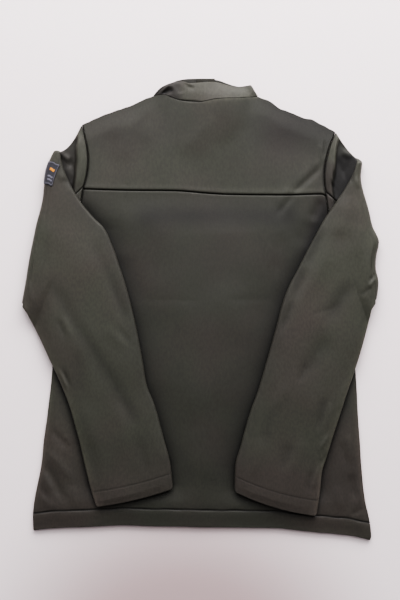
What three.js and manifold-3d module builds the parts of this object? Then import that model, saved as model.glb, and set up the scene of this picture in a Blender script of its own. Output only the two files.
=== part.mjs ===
// A softshell jacket laid face down, its collar up and both sleeves folded over its back.
// Millimetres. +X is the right of the laid jacket, +Y runs from hem to collar, +Z is up.
// Every piece of cloth is a wall worked out from the outline tables below, which hold one row
// for each bend of an edge, each section of a sleeve or each large fold.
import * as THREE from 'three';
import { mergeVertices } from 'three/addons/utils/BufferGeometryUtils.js';
import Module from 'manifold-3d';

const wasm = await Module();
wasm.setup();

// Driving dimensions
const wall = 2; // softshell: a woven face bonded to thin fleece
const seam = 0.3; // gap between pieces that are sewn together
const armholeSeam = 0.5; // the same at the armholes, whose curves are cut into short straights
const air = 3.4; // most air between the fronts and the back
const backBase = wall + seam + wall; // top of the back where it lies on the fronts
const sleeveLoft = 7.8; // height of a flat sleeve at armhole and fold
const cuffLoft = 6.6; // height of a flat sleeve at its cuff
const foldGap = 3.2; // air inside the fold of a sleeve
const restGap = 0.6; // between a folded sleeve and what it lies on
const droop = 26; // how far past an edge a sleeve takes to come down to the floor
const underSeam = 0.92; // where the lower back seam of a sleeve runs, 0 over-arm to 1 under-arm
const hemDepth = 28; // turned hem, up to its row of stitching
const hemProud = 0.7; // how much the turned hem stands over the panel
const neckRise = 8; // how far the neck seam is lifted over the flat back
const neckReach = 75; // how far down the back that lift fades
const zipHalf = 4.5; // from the middle of the zip to the edge of each front
const chainHalf = 3; // half the width of the closed zip chain
const tapeHalf = 15; // half the width of the two zip tapes together
const middle = { x: -0.06, y: -0.76 }; // of the box round the tables below, moved to the origin

// Outline tables, a row for each bend
const leftSide = [
  { y: -366, x: -276 }, { y: -342, x: -277 }, { y: -307, x: -273 }, { y: -269, x: -265 },
  { y: -203, x: -257 }, { y: -133, x: -248 }, { y: -35, x: -241 }, { y: 40, x: -235 },
  { y: 78, x: -229 }, { y: 110, x: -218 }, { y: 147, x: -205 }, { y: 179, x: -197.5 },
  { y: 202, x: -193 }, { y: 221, x: -188 }, { y: 246, x: -185.5 }, { y: 270, x: -188 },
  { y: 304, x: -196 },
];
const rightSide = [
  { y: -381.5, x: 280 }, { y: -376, x: 282 }, { y: -348, x: 279 }, { y: -327, x: 274 },
  { y: -300, x: 269.5 }, { y: -274, x: 267 }, { y: -203, x: 262 }, { y: -99, x: 256 },
  { y: -35, x: 252 }, { y: 30, x: 247 }, { y: 73, x: 240 }, { y: 105, x: 229 },
  { y: 144, x: 215 }, { y: 175, x: 209 }, { y: 206, x: 205 }, { y: 221, x: 204 },
  { y: 249, x: 208 }, { y: 276, x: 216 }, { y: 292, x: 223 },
];
const hemLine = [
  { x: -276, y: -366 }, { x: -229, y: -364 }, { x: -126, y: -358 }, { x: -78, y: -361 },
  { x: 0, y: -362 }, { x: 126, y: -363 }, { x: 189, y: -370 }, { x: 252, y: -376 },
  { x: 280, y: -382 },
];
const yokeLine = [
  { x: -192, y: 198 }, { x: -130, y: 196 }, { x: -40, y: 195 }, { x: 0, y: 192 },
  { x: 47, y: 189 }, { x: 141, y: 188 }, { x: 200, y: 189.5 }, { x: 208, y: 186 },
];
const leftShoulder = [
  { x: -196, y: 304 }, { x: -165, y: 316 }, { x: -129, y: 330 }, { x: -94, y: 346 },
  { x: -78, y: 352 },
];
const backNeck = [
  { x: -78, y: 352 }, { x: -62, y: 354 }, { x: -45, y: 348 }, { x: -31, y: 344 },
  { x: 0, y: 341.5 }, { x: 27, y: 346 }, { x: 65, y: 348 }, { x: 95, y: 351 },
];
const rightShoulder = [
  { x: 95, y: 351 }, { x: 118, y: 340 }, { x: 130, y: 330 }, { x: 158, y: 319 },
  { x: 183, y: 312 }, { x: 208, y: 299 }, { x: 223, y: 292 },
];
const frontNeck = [
  { x: -78, y: 352 }, { x: -66, y: 341 }, { x: -35, y: 325 }, { x: 8, y: 317 },
  { x: 50, y: 325 }, { x: 82, y: 341 }, { x: 95, y: 351 },
];
const backRim = [
  { x: -50, y: 371 }, { x: -40, y: 374.5 }, { x: -30, y: 375 }, { x: -19, y: 372 },
  { x: 0, y: 375 }, { x: 20, y: 376 }, { x: 37, y: 374 }, { x: 47, y: 370 }, { x: 64, y: 367 },
  { x: 84, y: 369 },
];
const frontRim = [
  { x: -50, y: 371 }, { x: -41, y: 375 }, { x: -32, y: 378 }, { x: -20, y: 380 },
  { x: 9, y: 380.5 }, { x: 29, y: 377 }, { x: 40, y: 370 }, { x: 64, y: 365 }, { x: 84, y: 368 },
];

// A sleeve: how its over-arm edge (a) and under-arm edge (b) run from the fold to the cuff.
// bow is how far the middle of a section stands out towards the cuff.
const leftSections = [
  { ax: -227, ay: 236, bx: -286.5, by: -4, bow: 0 },
  { ax: -216, ay: 209, bx: -283, by: -13, bow: 0 },
  { ax: -199, ay: 179, bx: -277, by: -25, bow: 0 },
  { ax: -178, ay: 153, bx: -269, by: -41, bow: 0 },
  { ax: -158, ay: 132, bx: -261, by: -57, bow: 0 },
  { ax: -145, ay: 104, bx: -254, by: -72, bow: 0 },
  { ax: -133, ay: 70, bx: -246, by: -89, bow: 0 },
  { ax: -120, ay: 28, bx: -236, by: -110, bow: 0 },
  { ax: -106, ay: -30, bx: -225, by: -136, bow: 0 },
  { ax: -96, ay: -82, bx: -216, by: -160, bow: 0 },
  { ax: -89, ay: -123, bx: -209, by: -184, bow: 0 },
  { ax: -75, ay: -160, bx: -200, by: -217, bow: 1 },
  { ax: -61, ay: -211, bx: -190, by: -260, bow: 2 },
  { ax: -50, ay: -254, bx: -181, by: -296, bow: 3 },
  { ax: -45, ay: -296, bx: -172, by: -326, bow: 3.5 },
];
const rightSections = [
  { ax: 252, ay: 225, bx: 281.5, by: 2, bow: 0 },
  { ax: 240, ay: 202, bx: 280, by: -9, bow: 0 },
  { ax: 223, ay: 176, bx: 277, by: -22, bow: 0 },
  { ax: 204, ay: 148, bx: 273, by: -38, bow: 0 },
  { ax: 187, ay: 117, bx: 268, by: -56, bow: 0 },
  { ax: 165, ay: 75, bx: 262, by: -77, bow: 0 },
  { ax: 139, ay: 22, bx: 253, by: -105, bow: 0 },
  { ax: 123, ay: -36, bx: 243, by: -134, bow: 0 },
  { ax: 108, ay: -89, bx: 231, by: -171, bow: 0 },
  { ax: 95, ay: -133, bx: 219, by: -208, bow: 1 },
  { ax: 80, ay: -175, bx: 208, by: -243, bow: 2 },
  { ax: 68, ay: -218, bx: 200, by: -270, bow: 3 },
  { ax: 57, ay: -262, bx: 197, by: -300, bow: 5 },
  { ax: 56, ay: -301, bx: 191, by: -341, bow: 6 },
];
// How far the folded edge of each sleeve stands out from the straight line between its ends
const leftFoldEdge = [
  { t: 0, out: 0 }, { t: 0.07, out: 4.5 }, { t: 0.14, out: 6.5 }, { t: 0.35, out: 2 },
  { t: 0.5, out: 3.7 }, { t: 0.7, out: 3.2 }, { t: 0.85, out: 1.3 }, { t: 1, out: 0 },
];
const rightFoldEdge = [
  { t: 0, out: 0 }, { t: 0.13, out: -5.5 }, { t: 0.34, out: 2 }, { t: 0.47, out: 6 },
  { t: 0.58, out: 14 }, { t: 0.68, out: 7.4 }, { t: 0.77, out: 4.3 }, { t: 0.86, out: 6.5 },
  { t: 1, out: 0 },
];

// The largest folds: a soft ridge or trough of a height and half width, from one point to another
const backFolds = [
  { x1: 203, y1: 232, x2: 160, y2: 180, half: 8, height: -1.8 },
  { x1: 190, y1: 176, x2: 160, y2: 136, half: 10, height: -1.5 },
  { x1: -105, y1: 20, x2: 118, y2: 18, half: 8, height: -1 },
  { x1: -262, y1: -245, x2: -246, y2: -284, half: 6, height: 2.4 },
  { x1: -243, y1: -248, x2: -222, y2: -312, half: 7, height: 2.2 },
  { x1: 243, y1: -288, x2: 248, y2: -318, half: 6, height: -1.6 },
  { x1: 260, y1: -290, x2: 266, y2: -318, half: 5, height: 2.6 },
];
const sleeveHeadFolds = [
  { x1: -206, y1: 278, x2: -208, y2: 228, half: 7, height: 4.5 },
  { x1: 234, y1: 264, x2: 231, y2: 214, half: 7, height: 4.5 },
];
const sleeveFolds = [
  { x1: -252, y1: 58, x2: -171, y2: -40, half: 18, height: -1.4 },
  { x1: -171, y1: -40, x2: -112, y2: -165, half: 17, height: -1.3 },
  { x1: -241, y1: -99, x2: -219, y2: -134, half: 7, height: 2.4 },
  { x1: -128, y1: -36, x2: -110, y2: -59, half: 8, height: -1.3 },
  { x1: 240, y1: 190, x2: 197, y2: 15, half: 20, height: 2.6 },
  { x1: 214, y1: -51, x2: 164, y2: -117, half: 16, height: -1.4 },
  { x1: 219, y1: -204, x2: 203, y2: -236, half: 7, height: 2.4 },
];

// Small helpers
const mix = (a, b, t) => a + (b - a) * t;

const clamp01 = (t) => Math.min(1, Math.max(0, t));

function ease(from, to, t) {
  const k = clamp01((t - from) / (to - from));
  return k * k * (3 - 2 * k);
}

// A smooth line through the rows of a table that never swings past them, level beyond its ends
function along(rows, from, to) {
  const steps = rows.slice(1).map((row, i) => row[from] - rows[i][from]);
  const rises = steps.map((step, i) => (rows[i + 1][to] - rows[i][to]) / step);
  const slopes = rows.map((row, i) => {
    if (i === 0) return rises[0];
    if (i === rises.length) return rises[i - 1];
    const before = rises[i - 1];
    const after = rises[i];
    return before * after > 0 ? (2 * before * after) / (before + after) : 0;
  });
  return (at) => {
    const last = rows.length - 1;
    if (at <= rows[0][from]) return rows[0][to];
    if (at >= rows[last][from]) return rows[last][to];
    const i = rows.findIndex((row, k) => k < last && at < rows[k + 1][from]);
    const t = (at - rows[i][from]) / steps[i];
    const start = rows[i][to] + slopes[i] * steps[i] * t * (1 - t);
    const end = rows[i + 1][to] - slopes[i + 1] * steps[i] * t * (1 - t);
    return mix(start, end, t * t * (3 - 2 * t));
  };
}

// Even steps between named stations, so that a corner of an outline falls on a grid line
function stations(breaks, counts) {
  const list = counts.flatMap((count, i) =>
    Array.from({ length: count }, (_, k) => mix(breaks[i], breaks[i + 1], k / count)));
  return [...list, breaks.at(-1)];
}

// Height of a set of folds at a point: each is a bell across its line that fades at both ends
function relief(folds, x, y) {
  return folds.reduce((sum, fold) => {
    const length = Math.hypot(fold.x2 - fold.x1, fold.y2 - fold.y1);
    const ux = (fold.x2 - fold.x1) / length;
    const uy = (fold.y2 - fold.y1) / length;
    const run = (x - fold.x1) * ux + (y - fold.y1) * uy;
    const across = (y - fold.y1) * ux - (x - fold.x1) * uy;
    const fade = 0.35 * length;
    const taper = ease(0, fade, run) * ease(length, length - fade, run);
    return sum + fold.height * taper * Math.exp(-((across / fold.half) ** 2));
  }, 0);
}

const leftOf = along(leftSide, 'y', 'x');
const rightOf = along(rightSide, 'y', 'x');
const hemOf = along(hemLine, 'x', 'y');
const yokeOf = along(yokeLine, 'x', 'y');
const leftShoulderOf = along(leftShoulder, 'x', 'y');
const rightShoulderOf = along(rightShoulder, 'x', 'y');
const backNeckOf = along(backNeck, 'x', 'y');
const frontNeckOf = along(frontNeck, 'x', 'y');
const backRimOf = along(backRim, 'x', 'y');
const frontRimOf = along(frontRim, 'x', 'y');
const leftNeckX = backNeck[0].x;
const rightNeckX = backNeck.at(-1).x;
const leftTip = leftShoulder[0];
const rightTip = rightShoulder.at(-1);
const zipX = mix(leftNeckX, rightNeckX, 0.5);

// The top edge of the back or of the fronts: a shoulder, the neck and the other shoulder
function topEdge(neckOf) {
  return (x) => {
    if (x < leftNeckX) return leftShoulderOf(x);
    return x > rightNeckX ? rightShoulderOf(x) : neckOf(x);
  };
}
const backTopEdge = topEdge(backNeckOf);
const frontTopEdge = topEdge(frontNeckOf);

// Height of the back's outer face: flat on the fronts at its free edges, with air under it
// elsewhere, level with the sleeves at the armholes and lifted where the collar stands up
function backTop(x, y) {
  const fromSide = Math.min(x - leftOf(y), rightOf(y) - x);
  const atArmhole = ease(55, 100, y);
  const sideAir = mix(ease(-4, 14, fromSide), 1, atArmhole);
  const inNeck = ease(leftNeckX, leftNeckX + 25, x) * ease(rightNeckX, rightNeckX - 25, x);
  const below = backTopEdge(x) - y;
  const shoulderAir = mix(ease(-3, 12, below), 1, inNeck);
  const hemAir = mix(0.5, 1, ease(0, 40, y - hemOf(x)));
  const across = clamp01(Math.abs(x - zipX) / (rightNeckX - zipX));
  const lift = neckRise * (1 - ease(0, 1, across)) * ease(neckReach, 0, below);
  const hem = hemProud * ease(hemDepth + 1, hemDepth - 1, y - hemOf(x));
  return backBase + air * sideAir * shoulderAir * hemAir + lift + hem + relief(backFolds, x, y);
}

// A closed wall from two grids of points, an outer and an inner, joined round their borders
function clothWall(us, vs, place) {
  const rows = vs.length;
  const count = us.length * rows;
  const points = us.flatMap((u) => vs.map((v) => place(u, v)));
  const positions = [...points.map((p) => p.outer), ...points.map((p) => p.inner)];
  const outer = (i, j) => i * rows + j;
  const inner = (i, j) => count + i * rows + j;
  const index = [];
  const quad = (a, b, c, d) => index.push(a, b, c, a, c, d);
  for (let i = 0; i + 1 < us.length; i += 1) {
    for (let j = 0; j + 1 < rows; j += 1) {
      quad(outer(i, j), outer(i + 1, j), outer(i + 1, j + 1), outer(i, j + 1));
      quad(inner(i, j), inner(i, j + 1), inner(i + 1, j + 1), inner(i + 1, j));
    }
    quad(outer(i, 0), inner(i, 0), inner(i + 1, 0), outer(i + 1, 0));
    quad(outer(i, rows - 1), outer(i + 1, rows - 1), inner(i + 1, rows - 1), inner(i, rows - 1));
  }
  const end = us.length - 1;
  for (let j = 0; j + 1 < rows; j += 1) {
    quad(outer(0, j), outer(0, j + 1), inner(0, j + 1), inner(0, j));
    quad(outer(end, j), inner(end, j), inner(end, j + 1), outer(end, j + 1));
  }
  const volume = index.reduce((sum, _, k) => {
    if (k % 3) return sum;
    const [a, b, c] = [positions[index[k]], positions[index[k + 1]], positions[index[k + 2]]];
    return sum + a.dot(b.clone().cross(c));
  }, 0);
  const geometry = new THREE.BufferGeometry();
  geometry.setAttribute('position', new THREE.Float32BufferAttribute(
    positions.flatMap((p) => [p.x, p.y, p.z]), 3));
  geometry.setIndex(volume > 0 ? index : index.reverse());
  geometry.computeVertexNormals();
  return geometry;
}

// A panel that lies flat: a point is worked out between its four edges
function panelPoint(panel, u, v) {
  const low = panel.bottom(mix(panel.bottomLeft, panel.bottomRight, u));
  const high = panel.top(mix(panel.topLeft, panel.topRight, u));
  const y = mix(low, high, v);
  return { x: mix(panel.left(y), panel.right(y), u), y };
}

function flatPanel(panel, us, vs, topOf) {
  return clothWall(us, vs, (u, v) => {
    const { x, y } = panelPoint(panel, u, v);
    const z = topOf(x, y);
    return { outer: new THREE.Vector3(x, y, z), inner: new THREE.Vector3(x, y, z - wall) };
  });
}

const frontNeckSteps = 7; // grid steps along each half of the front neck
const neckShare = (x) => (x - leftTip.x) / (rightTip.x - leftTip.x);
const backColumns = stations(
  [0, 0.025, neckShare(leftNeckX), neckShare(rightNeckX), 0.975, 1], [2, 6, 8, 6, 2]);
const backBody = {
  left: leftOf, right: rightOf,
  bottom: hemOf, bottomLeft: hemLine[0].x, bottomRight: hemLine.at(-1).x,
  top: (x) => yokeOf(x) - seam / 2, topLeft: yokeLine[0].x, topRight: yokeLine.at(-1).x,
};
const backYoke = {
  left: leftOf, right: rightOf,
  bottom: (x) => yokeOf(x) + seam / 2, bottomLeft: yokeLine[0].x, bottomRight: yokeLine.at(-1).x,
  top: (x) => backTopEdge(x) - seam / 2, topLeft: leftTip.x, topRight: rightTip.x,
};
const front = { bottom: hemOf, top: (x) => frontTopEdge(x) - seam / 2 };
const leftFront = {
  ...front, left: leftOf, right: () => zipX - zipHalf,
  bottomLeft: hemLine[0].x, bottomRight: zipX - zipHalf,
  topLeft: leftTip.x, topRight: zipX - zipHalf,
};
const rightFront = {
  ...front, left: () => zipX + zipHalf, right: rightOf,
  bottomLeft: zipX + zipHalf, bottomRight: hemLine.at(-1).x,
  topLeft: zipX + zipHalf, topRight: rightTip.x,
};
const shareBetween = (from, to, x) => (x - from) / (to - from);
const leftFrontColumns = stations(
  [0, shareBetween(leftTip.x, zipX - zipHalf, leftNeckX), 1], [5, frontNeckSteps]);
const rightFrontColumns = stations(
  [0, shareBetween(zipX + zipHalf, rightTip.x, rightNeckX), 1], [frontNeckSteps, 5]);

// A sleeve is a flat tube that leaves the armhole with its back up, turns over at its fold and
// runs back over the jacket. A point on it has a step s along the tube, 0 at the armhole, 1 and
// 2 at the start and end of the fold and one more at each section, and a share t from the
// over-arm edge to the under-arm edge.
const foldRadius = sleeveLoft + foldGap / 2;
const left = {
  sideOf: leftOf, outward: -1, shoulder: leftTip, underarm: leftSide.find((row) => row.y === 78),
  foldTop: { x: -241, y: 262 }, foldEnd: { x: -295, y: 8 },
  foldEdge: along(leftFoldEdge, 't', 'out'), capDip: 9, sections: leftSections,
};
const right = {
  sideOf: rightOf, outward: 1, shoulder: rightTip, underarm: rightSide.find((row) => row.y === 73),
  foldTop: { x: 267, y: 243 }, foldEnd: { x: 290, y: 14 },
  foldEdge: along(rightFoldEdge, 't', 'out'), capDip: 11, sections: rightSections,
};
for (const sleeve of [left, right]) {
  const length = Math.hypot(
    sleeve.foldEnd.x - sleeve.foldTop.x, sleeve.foldEnd.y - sleeve.foldTop.y);
  // The way from the folded edge in towards the body
  sleeve.inX = (sleeve.outward * (sleeve.foldEnd.y - sleeve.foldTop.y)) / length;
  sleeve.inY = (-sleeve.outward * (sleeve.foldEnd.x - sleeve.foldTop.x)) / length;
  sleeve.cuffStep = 2 + sleeve.sections.length;
  const steps = sleeve.sections.map((row, k) => ({ ...row, s: k + 3 }));
  const axis = foldLine(sleeve, 0);
  const axisEnd = foldLine(sleeve, 1);
  const start = { s: 2, ax: axis.x, ay: axis.y, bx: axisEnd.x, by: axisEnd.y, bow: 0 };
  for (const column of ['ax', 'ay', 'bx', 'by', 'bow']) {
    sleeve[column] = along([start, ...steps], 's', column);
  }
}

// The axis that the sleeve turns over, one fold radius in from its folded edge
function foldLine(sleeve, t) {
  const inset = foldRadius - sleeve.foldEdge(t);
  return {
    x: mix(sleeve.foldTop.x, sleeve.foldEnd.x, t) + sleeve.inX * inset,
    y: mix(sleeve.foldTop.y, sleeve.foldEnd.y, t) + sleeve.inY * inset,
  };
}

// Height of whatever lies under a folded sleeve: the back or the sleeve's own upper part, and
// down to the floor beyond them
function support(sleeve, x, y) {
  const { underarm, outward } = sleeve;
  const fold = foldLine(sleeve, 1);
  const length = Math.hypot(fold.x - underarm.x, fold.y - underarm.y);
  const inSleeve = (outward * ((x - underarm.x) * (underarm.y - fold.y)
    + (y - underarm.y) * (fold.x - underarm.x))) / length;
  const inBody = outward * (sleeve.sideOf(y) - x);
  return sleeveLoft * ease(-droop, -2, Math.max(inSleeve, inBody));
}

// The middle of the tube: its place, and how far it has turned over
function sleeveMiddle(sleeve, s, t) {
  const fold = foldLine(sleeve, t);
  if (s <= 1) {
    const y = mix(sleeve.shoulder.y, sleeve.underarm.y, t);
    const x = sleeve.sideOf(y) + sleeve.outward * armholeSeam;
    const dip = sleeve.capDip * 4 * s * (1 - s) * (1 - t) ** 2;
    return { x: mix(x, fold.x, s), y: mix(y, fold.y, s) - dip, z: sleeveLoft / 2, turn: 0 };
  }
  const reach = foldRadius - sleeveLoft / 2;
  if (s <= 2) {
    const turn = Math.PI * (s - 1);
    return {
      x: fold.x - sleeve.inX * reach * Math.sin(turn),
      y: fold.y - sleeve.inY * reach * Math.sin(turn),
      z: foldRadius - reach * Math.cos(turn),
      turn,
    };
  }
  const a = { x: sleeve.ax(s), y: sleeve.ay(s) };
  const b = { x: sleeve.bx(s), y: sleeve.by(s) };
  const width = Math.hypot(b.x - a.x, b.y - a.y);
  const bow = sleeve.bow(s) * 4 * t * (1 - t);
  const edge = sleeve.foldEdge(t) * ease(5, 2, s);
  const x = mix(a.x, b.x, t) - sleeve.inX * edge
    + (sleeve.outward * bow * (b.y - a.y)) / width;
  const y = mix(a.y, b.y, t) - sleeve.inY * edge
    - (sleeve.outward * bow * (b.x - a.x)) / width;
  const lift = mix(foldGap, restGap, ease(2, 6, s));
  const high = support(sleeve, x, y) + lift + sleeveHeight(sleeve, s) / 2;
  const level = sleeveLoft + foldGap + sleeveLoft / 2;
  return { x, y, z: mix(level, high, ease(2, 4, s)), turn: Math.PI };
}

function sleeveHeight(sleeve, s) {
  return mix(sleeveLoft, cuffLoft, ease(2, sleeve.cuffStep, s));
}

// A point on the skin of the tube, depth mm inside its outer face. side is 'back', 'front', or
// 'over' and 'under' for the two round edges, where t is the share of the half turn.
function sleevePoint(sleeve, s, side, t, depth) {
  const round = sleeveHeight(sleeve, s) / 2;
  const half = round - depth;
  const width = Math.hypot(
    sleeve.ax(s) - sleeve.bx(s), sleeve.ay(s) - sleeve.by(s));
  const margin = round / width;
  const edge = half / width;
  const angle = Math.PI * t;
  const shapes = {
    back: () => [mix(margin, 1 - margin, t), 1],
    front: () => [mix(margin, 1 - margin, t), -1],
    over: () => [margin - edge * Math.sin(angle), Math.cos(angle)],
    under: () => [1 - margin + edge * Math.sin(angle), -Math.cos(angle)],
  };
  const [share, up] = shapes[side]();
  const core = sleeveMiddle(sleeve, s, share);
  const sin = Math.sin(core.turn);
  const cos = Math.cos(core.turn);
  const point = new THREE.Vector3(
    core.x + sleeve.inX * sin * up * half,
    core.y + sleeve.inY * sin * up * half,
    core.z + cos * up * half,
  );
  const shows = clamp01(cos * up);
  if (s <= 1) point.z += relief(sleeveHeadFolds, point.x, point.y) * shows;
  if (s > 2) point.z += relief(sleeveFolds, point.x, point.y) * shows;
  return point;
}

// One cloth piece of a sleeve. columns lists, in order round the tube, a side and a share.
function sleevePiece(sleeve, columns, lift = 0, thickness = wall, steps = sleeve.steps) {
  return clothWall(columns, steps, (column, s) => ({
    outer: sleevePoint(sleeve, s, column.side, column.t, -lift - thickness + wall),
    inner: sleevePoint(sleeve, s, column.side, column.t, wall - lift),
  }));
}

function columns(side, from, to, count) {
  return Array.from({ length: count + 1 }, (_, k) => ({ side, t: mix(from, to, k / count) }));
}

const backSeam = 0.45; // where the upper back seam of a sleeve runs
const seamShare = 0.0006; // half a seam gap, as a share of the sleeve's width
const upperColumns = [
  ...columns('back', backSeam - seamShare, 0, 4), ...columns('over', 0.25, 0.75, 2),
  ...columns('front', 0, 1, 10), ...columns('under', 0.25, 0.75, 2),
  ...columns('back', 1, underSeam + seamShare, 1),
];
const lowerColumns = columns('back', underSeam - seamShare, backSeam + seamShare, 5);
for (const sleeve of [left, right]) {
  sleeve.steps = stations([0, 1, 2, sleeve.cuffStep], [4, 6, sleeve.sections.length]);
}

// The patch lies on the left sleeve beside its fold, made from the sleeve's points moved out
const patchColumns = columns('front', 0.05, 0.2, 4);
const patchSteps = stations([1.6, 2, 2.6], [3, 3]);
const patchThick = 0.9;

// The collar: one band that runs from the zip round the left of the neck, along the back over
// itself, and round the right of the neck to the zip again
const collarTurn = 3; // steps round each end
const rimBack = 8.6; // middle of the back collar's cloth at its rim
function collarStation(x, rimX, seamOf, rimOf, seamZ, rimZ, out) {
  return {
    foot: new THREE.Vector3(x, seamOf(x) + seam / 2, seamZ),
    rim: new THREE.Vector3(rimX, rimOf(rimX), rimZ),
    out,
  };
}
const rimLeft = backRim[0].x;
const rimRight = backRim.at(-1).x;
const rimShare = (x) => mix(rimLeft, rimRight, clamp01((x - leftNeckX) / (rightNeckX - leftNeckX)));
function collarRun() {
  const layer = wall / 2;
  const frontAt = (x) => {
    const rimX = Math.abs(x - zipX) < zipHalf + 1 ? x : rimShare(x);
    return collarStation(x, rimX, frontNeckOf, frontRimOf, layer, layer,
      new THREE.Vector3(0, 0, -1));
  };
  const backAt = (x) => {
    const atEnd = ease(leftNeckX, leftNeckX + 45, x) * ease(rightNeckX, rightNeckX - 45, x);
    return collarStation(x, rimShare(x), backNeckOf, backRimOf,
      backTop(x, backNeckOf(x)) - layer, mix(5.6, rimBack, atEnd), new THREE.Vector3(0, 0, 1));
  };
  const turnAt = (x, lower, upper) => Array.from({ length: collarTurn }, (_, k) => {
    const angle = (Math.PI * (k + 1)) / (collarTurn + 1);
    const bulge = Math.sin(angle);
    const share = (1 - Math.cos(angle)) / 2;
    const sign = Math.sign(x);
    const foot = lower.foot.clone().lerp(upper.foot, share);
    const rim = lower.rim.clone().lerp(upper.rim, share);
    foot.x = mix(foot.x, x - sign * layer, bulge);
    foot.y = mix(foot.y, backNeckOf(x) + 2 * seam, Math.min(1, 1.4 * bulge));
    rim.x = mix(rim.x, rimShare(x) - sign * layer, bulge);
    return { foot, rim, out: new THREE.Vector3(sign * bulge, 0, -Math.cos(angle)) };
  });
  const leftRun = stations([zipX - zipHalf, leftNeckX], [frontNeckSteps]).slice(0, -1).map(frontAt);
  const rightRun = stations([rightNeckX, zipX + zipHalf], [frontNeckSteps]).slice(1).map(frontAt);
  const backRun = backColumns.map((u) => mix(leftTip.x, rightTip.x, u))
    .filter((x) => x > leftNeckX + 1 && x < rightNeckX - 1).map(backAt);
  return [
    ...leftRun, ...turnAt(leftNeckX, leftRun.at(-1), backRun[0]),
    ...backRun, ...turnAt(rightNeckX, rightRun[0], backRun.at(-1)).reverse(), ...rightRun,
  ];
}

function collar() {
  return clothWall(collarRun(), stations([0, 1], [4]), (station, v) => {
    const core = station.foot.clone().lerp(station.rim, v);
    const half = station.out.clone().multiplyScalar(wall / 2);
    return { outer: core.clone().add(half), inner: core.clone().sub(half) };
  });
}

// The zip: one closed chain between the fronts, on two tapes that lie over their edges
const tabThick = 1.2;
const pinZ = 1.25; // height of the pull tab's pin over the floor
const pinRadius = 0.55;
const chainLow = wall + seam; // the chain lies just over the pull tab
const chainThick = 1.8;
const tapeLow = chainLow + seam / 2;
const tapeThick = 0.6;
const sliderLength = 11;
const sliderHalf = 4.1;
const sliderThick = 3.4;
const cheekThick = 1.1;
const cheekLength = 4;
const zipTop = 377;
const sliderY = zipTop - sliderLength / 2;
function frontZip() {
  const section = new THREE.Shape();
  const halfSection = [
    [chainHalf, chainLow], [chainHalf, tapeLow], [tapeHalf, tapeLow],
    [tapeHalf, tapeLow + tapeThick], [chainHalf, tapeLow + tapeThick],
    [chainHalf, chainLow + chainThick],
  ];
  const mirrored = halfSection.map(([x, z]) => [-x, z]).reverse();
  section.setFromPoints([...halfSection, ...mirrored].map(([x, z]) => new THREE.Vector2(x, z)));
  const foot = hemOf(zipX) + 1;
  const top = sliderY - sliderLength / 2 - seam;
  const geometry = new THREE.ExtrudeGeometry(section, { depth: top - foot, bevelEnabled: false });
  geometry.rotateX(Math.PI / 2);
  geometry.translate(zipX, top, 0);
  return geometry;
}

function toSolid(geometry) {
  const bare = geometry.clone();
  bare.deleteAttribute('normal');
  bare.deleteAttribute('uv');
  const merged = mergeVertices(bare);
  return new wasm.Manifold(new wasm.Mesh({
    numProp: 3,
    vertProperties: new Float32Array(merged.attributes.position.array),
    triVerts: new Uint32Array(merged.index.array),
  }));
}

function toGeometry(solid) {
  const mesh = solid.getMesh();
  const geometry = new THREE.BufferGeometry();
  geometry.setAttribute('position', new THREE.BufferAttribute(mesh.vertProperties, 3));
  geometry.setIndex(new THREE.BufferAttribute(mesh.triVerts, 1));
  geometry.computeVertexNormals();
  return geometry;
}

function block(width, length, height, x, y, z) {
  return toSolid(new THREE.BoxGeometry(width, length, height).translate(x, y, z));
}

function pin(radius, length) {
  return toSolid(new THREE.CylinderGeometry(radius, radius, length, 12)
    .rotateZ(Math.PI / 2).translate(zipX, sliderY, pinZ));
}

// The slider holds the last of the chain, with a cheek on each side for the tab's pin
function slider() {
  const low = pinZ + tabThick / 2 + 2 * seam;
  const body = block(2 * sliderHalf, sliderLength, sliderThick,
    zipX, sliderY, low + sliderThick / 2);
  const cheekTop = low + seam;
  const side = sliderHalf - cheekThick / 2;
  const cheeks = [-side, side].map((x) =>
    block(cheekThick, cheekLength, cheekTop - 0.1, zipX + x, sliderY, (cheekTop + 0.1) / 2));
  const solid = body.add(cheeks[0]).add(cheeks[1])
    .subtract(pin(pinRadius + seam, 3 * sliderHalf));
  return toGeometry(solid);
}

// The pull tab: a plate on a pin, with a window to grip
function pullTab() {
  const length = 21;
  const half = sliderHalf - cheekThick - seam;
  const roundFrom = 2 - length; // the lower end is rounded off below this
  const shape = new THREE.Shape();
  shape.moveTo(-half, pinRadius);
  shape.lineTo(-half, roundFrom);
  shape.quadraticCurveTo(-half, -length, 0, -length);
  shape.quadraticCurveTo(half, -length, half, roundFrom);
  shape.lineTo(half, pinRadius);
  shape.closePath();
  const window = new THREE.Path();
  window.absellipse(0, roundFrom + 2, half - 1.3, 2, 0, 2 * Math.PI, false);
  shape.holes.push(window);
  const plate = new THREE.ExtrudeGeometry(
    shape, { depth: tabThick, bevelEnabled: false, curveSegments: 8 });
  plate.translate(zipX, sliderY, pinZ - tabThick / 2);
  return toGeometry(toSolid(plate).add(pin(pinRadius, 2 * sliderHalf - 0.4)));
}

// Materials
const olive = new THREE.MeshStandardMaterial({ color: '#45443c', roughness: 0.85 });
const oliveDark = new THREE.MeshStandardMaterial({ color: '#3f3e37', roughness: 0.88 });
const slate = new THREE.MeshStandardMaterial({ color: '#33363b', roughness: 0.8 });
const zipCloth = new THREE.MeshStandardMaterial({ color: '#26251f', roughness: 0.7 });
const zipMetal = new THREE.MeshStandardMaterial({ color: '#4a4a48', roughness: 0.4, metalness: 0.9 });

const bodyRows = stations([0, 0.04, 0.056, 0.77, 1], [2, 2, 12, 9]);
const yokeRows = stations([0, 0.9, 1], [7, 2]);
const frontRows = stations([0, 0.64, 1], [5, 17]);
const flat = () => wall;

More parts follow.
